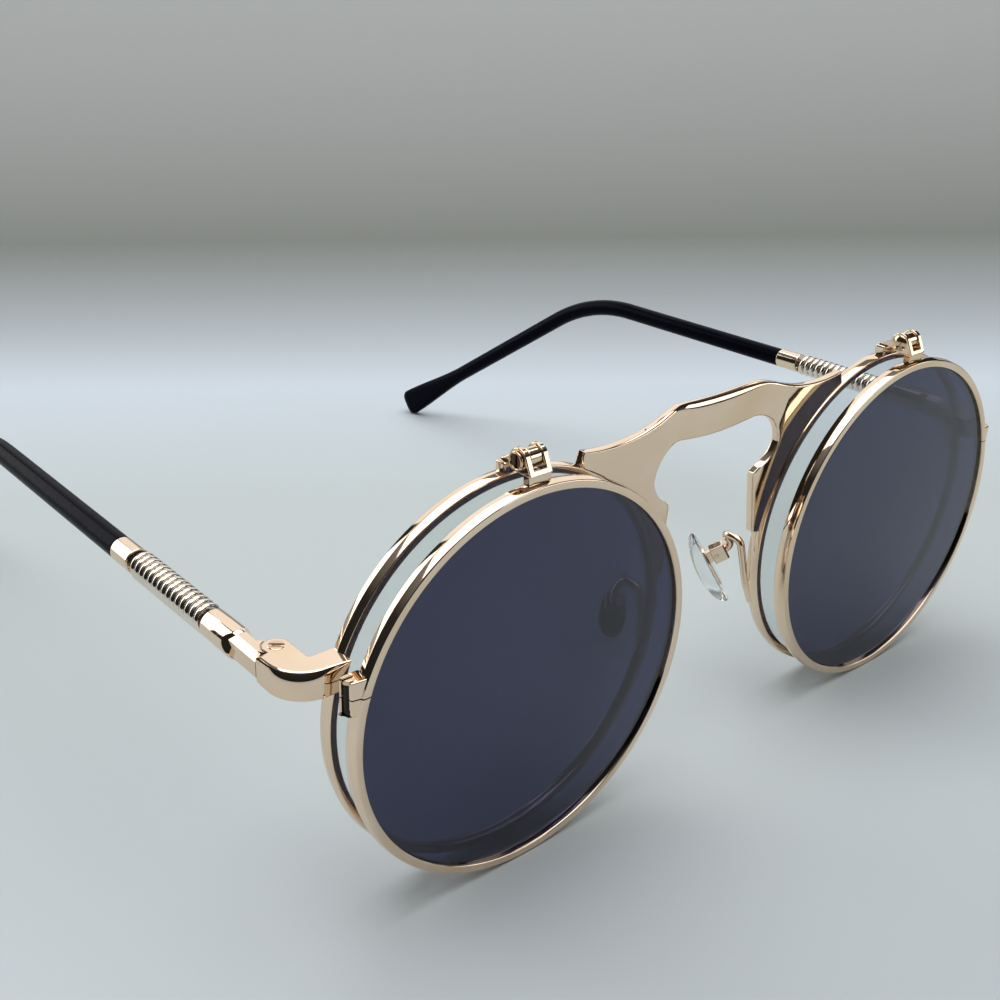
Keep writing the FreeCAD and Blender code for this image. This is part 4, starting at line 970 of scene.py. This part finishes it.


# Floor and backdrop: one sheet that lies flat, bends up behind the glasses and ends as a low wall.
# Its tones run along the sheet, from near the camera to the top of the wall, in metres from under the camera.
# They are painted light and shade: bright just before the bend, darkest part way up it, and lighter towards its
# top.
sweep = {
    "near": -0.5, "bend": 0.36, "radius": 0.25, "turn": 62.0, "half": 1.1, "fibre": 3.0, "mottle": 0.004,
    "tones": [(0.1, "#C4CBCE"), (0.24, "#BFC7C7"), (0.32, "#C8D1DA"), (0.45, "#7F827D"), (0.6, "#B7B9B8")]}
ahead = unit(lookOut * (1, 1, 0))
aside = np.cross(ahead, zAxis)
bendRun = sweep["radius"] * np.radians(np.linspace(0, sweep["turn"], 40))
run = join([np.linspace(sweep["near"], sweep["bend"], 12)[:-1], sweep["bend"] + bendRun])
lift = np.clip((run - sweep["bend"]) / sweep["radius"], 0, None)
outwards = np.minimum(run, sweep["bend"]) + sweep["radius"] * np.sin(lift)
upwards = sweep["radius"] * (1 - np.cos(lift))
sheet = cameraSpot * (1, 1, 0) + outwards[:, None] * ahead + upwards[:, None] * zAxis
sheetPoints = np.stack([sheet + k * sweep["half"] * aside for k in (1, -1)], 1)
index = np.arange(len(sheet) * 2).reshape(-1, 2)
sheetFaces = np.stack([index[:-1, 1], index[1:, 1], index[1:, 0], index[:-1, 0]], -1)
sheetMesh = newMesh("floorSheet", sheetPoints.reshape(-1, 3), sheetFaces.tolist())
share = (run - run[0]) / (run[-1] - run[0])
corners = np.stack([np.repeat([[1.0, 0.0]], len(share), 0), np.repeat(share[:, None], 2, 1)], -1)
corners = corners.reshape(-1, 2)
sheetMesh.uv_layers.new(name="along").data.foreach_set("uv", corners[sheetFaces.ravel()].ravel())

# matt background paper, its tones painted light and shade, with a faint mottle of fibres about 3 mm long
paper, tree, coords = newFinish("paperBackdrop")
along = addNode(tree, "UVMap", uv_map="along")
lengthwise = addNode(tree, "SeparateXYZ", {}, {"Vector": along.outputs["UV"]})
fibre = addNode(tree, "TexNoise", {"Scale": metre / sweep["fibre"], "Detail": 3.0}, {"Vector": coords})
mottle = addNode(tree, "Math", {1: sweep["mottle"], 2: -sweep["mottle"] / 2},
                 {0: fibre.outputs["Fac"]}, operation="MULTIPLY_ADD")
tonePlace = addNode(tree, "Math", {}, {0: lengthwise.outputs["Y"], 1: mottle.outputs[0]}, operation="ADD")
tone = addNode(tree, "ValToRGB", {}, {"Fac": tonePlace.outputs[0]})
setRamp(tone, [((metres - run[0]) / (run[-1] - run[0]), colour) for metres, colour in sweep["tones"]])
matt = addNode(tree, "BsdfPrincipled", {"Roughness": 0.9, "Specular IOR Level": 0.2},
               {"Base Color": tone.outputs["Color"]})
addNode(tree, "OutputMaterial", {}, {"Surface": matt.outputs["BSDF"]})
sheetMesh.materials.append(paper)
floorSheet = addObject("floorSheet", sheetMesh)


# Light: a large soft box overhead, one behind and above the wall, one at the left behind, a small one at the
# right in front, and a dark room round them
lights = [{"name": "softBoxTop", "spot": (0.02, -0.05, 0.85), "size": (0.95, 0.95), "power": 6.9},
          {"name": "softBoxSide", "spot": (-0.392, 0.84, 0.375), "size": (0.6, 0.85), "power": 4.1},
          {"name": "softBoxFront", "spot": (0.66, -0.72, 0.27), "size": (0.75, 0.34), "power": 1.6},
          {"name": "softBoxBack", "spot": ahead * 0.72 + zAxis * 0.5, "size": (1.1, 0.62), "power": 2.2}]
target = np.array([0.0, -0.02, 0.02])
nearlyUp = (0.001, 0.002, 1.0)   # so that the lamp overhead has a sideways direction too
for lamp in lights:
    data = bpy.data.lights.new(lamp["name"], "AREA")
    data.shape, data.size, data.size_y, data.energy = "RECTANGLE", *lamp["size"], lamp["power"]
    back = unit(np.array(lamp["spot"]) - target)
    across = unit(np.cross(nearlyUp, back))
    box = addObject(lamp["name"], data)
    box.matrix_world = placed(across, np.cross(back, across), back, lamp["spot"])
    box.visible_camera = False

world = bpy.data.worlds.new("studioRoom")
bpy.context.scene.world = world
world.use_nodes = True
tree = world.node_tree
tree.nodes.clear()
sky = addNode(tree, "TexCoord")
height = addNode(tree, "SeparateXYZ", {}, {"Vector": sky.outputs["Generated"]})
room = addNode(tree, "ValToRGB", {}, {"Fac": height.outputs["Z"]})
setRamp(room, [(0.0, "#2E2F31"), (0.55, "#3E3F42"), (0.9, "#B9BCC0")])
glow = addNode(tree, "Background", {"Strength": 0.5}, {"Color": room.outputs["Color"]})
addNode(tree, "OutputWorld", {}, {"Surface": glow.outputs["Background"]})
bpy.context.scene.view_settings.view_transform = "Standard"
print("camera, floor and light made")
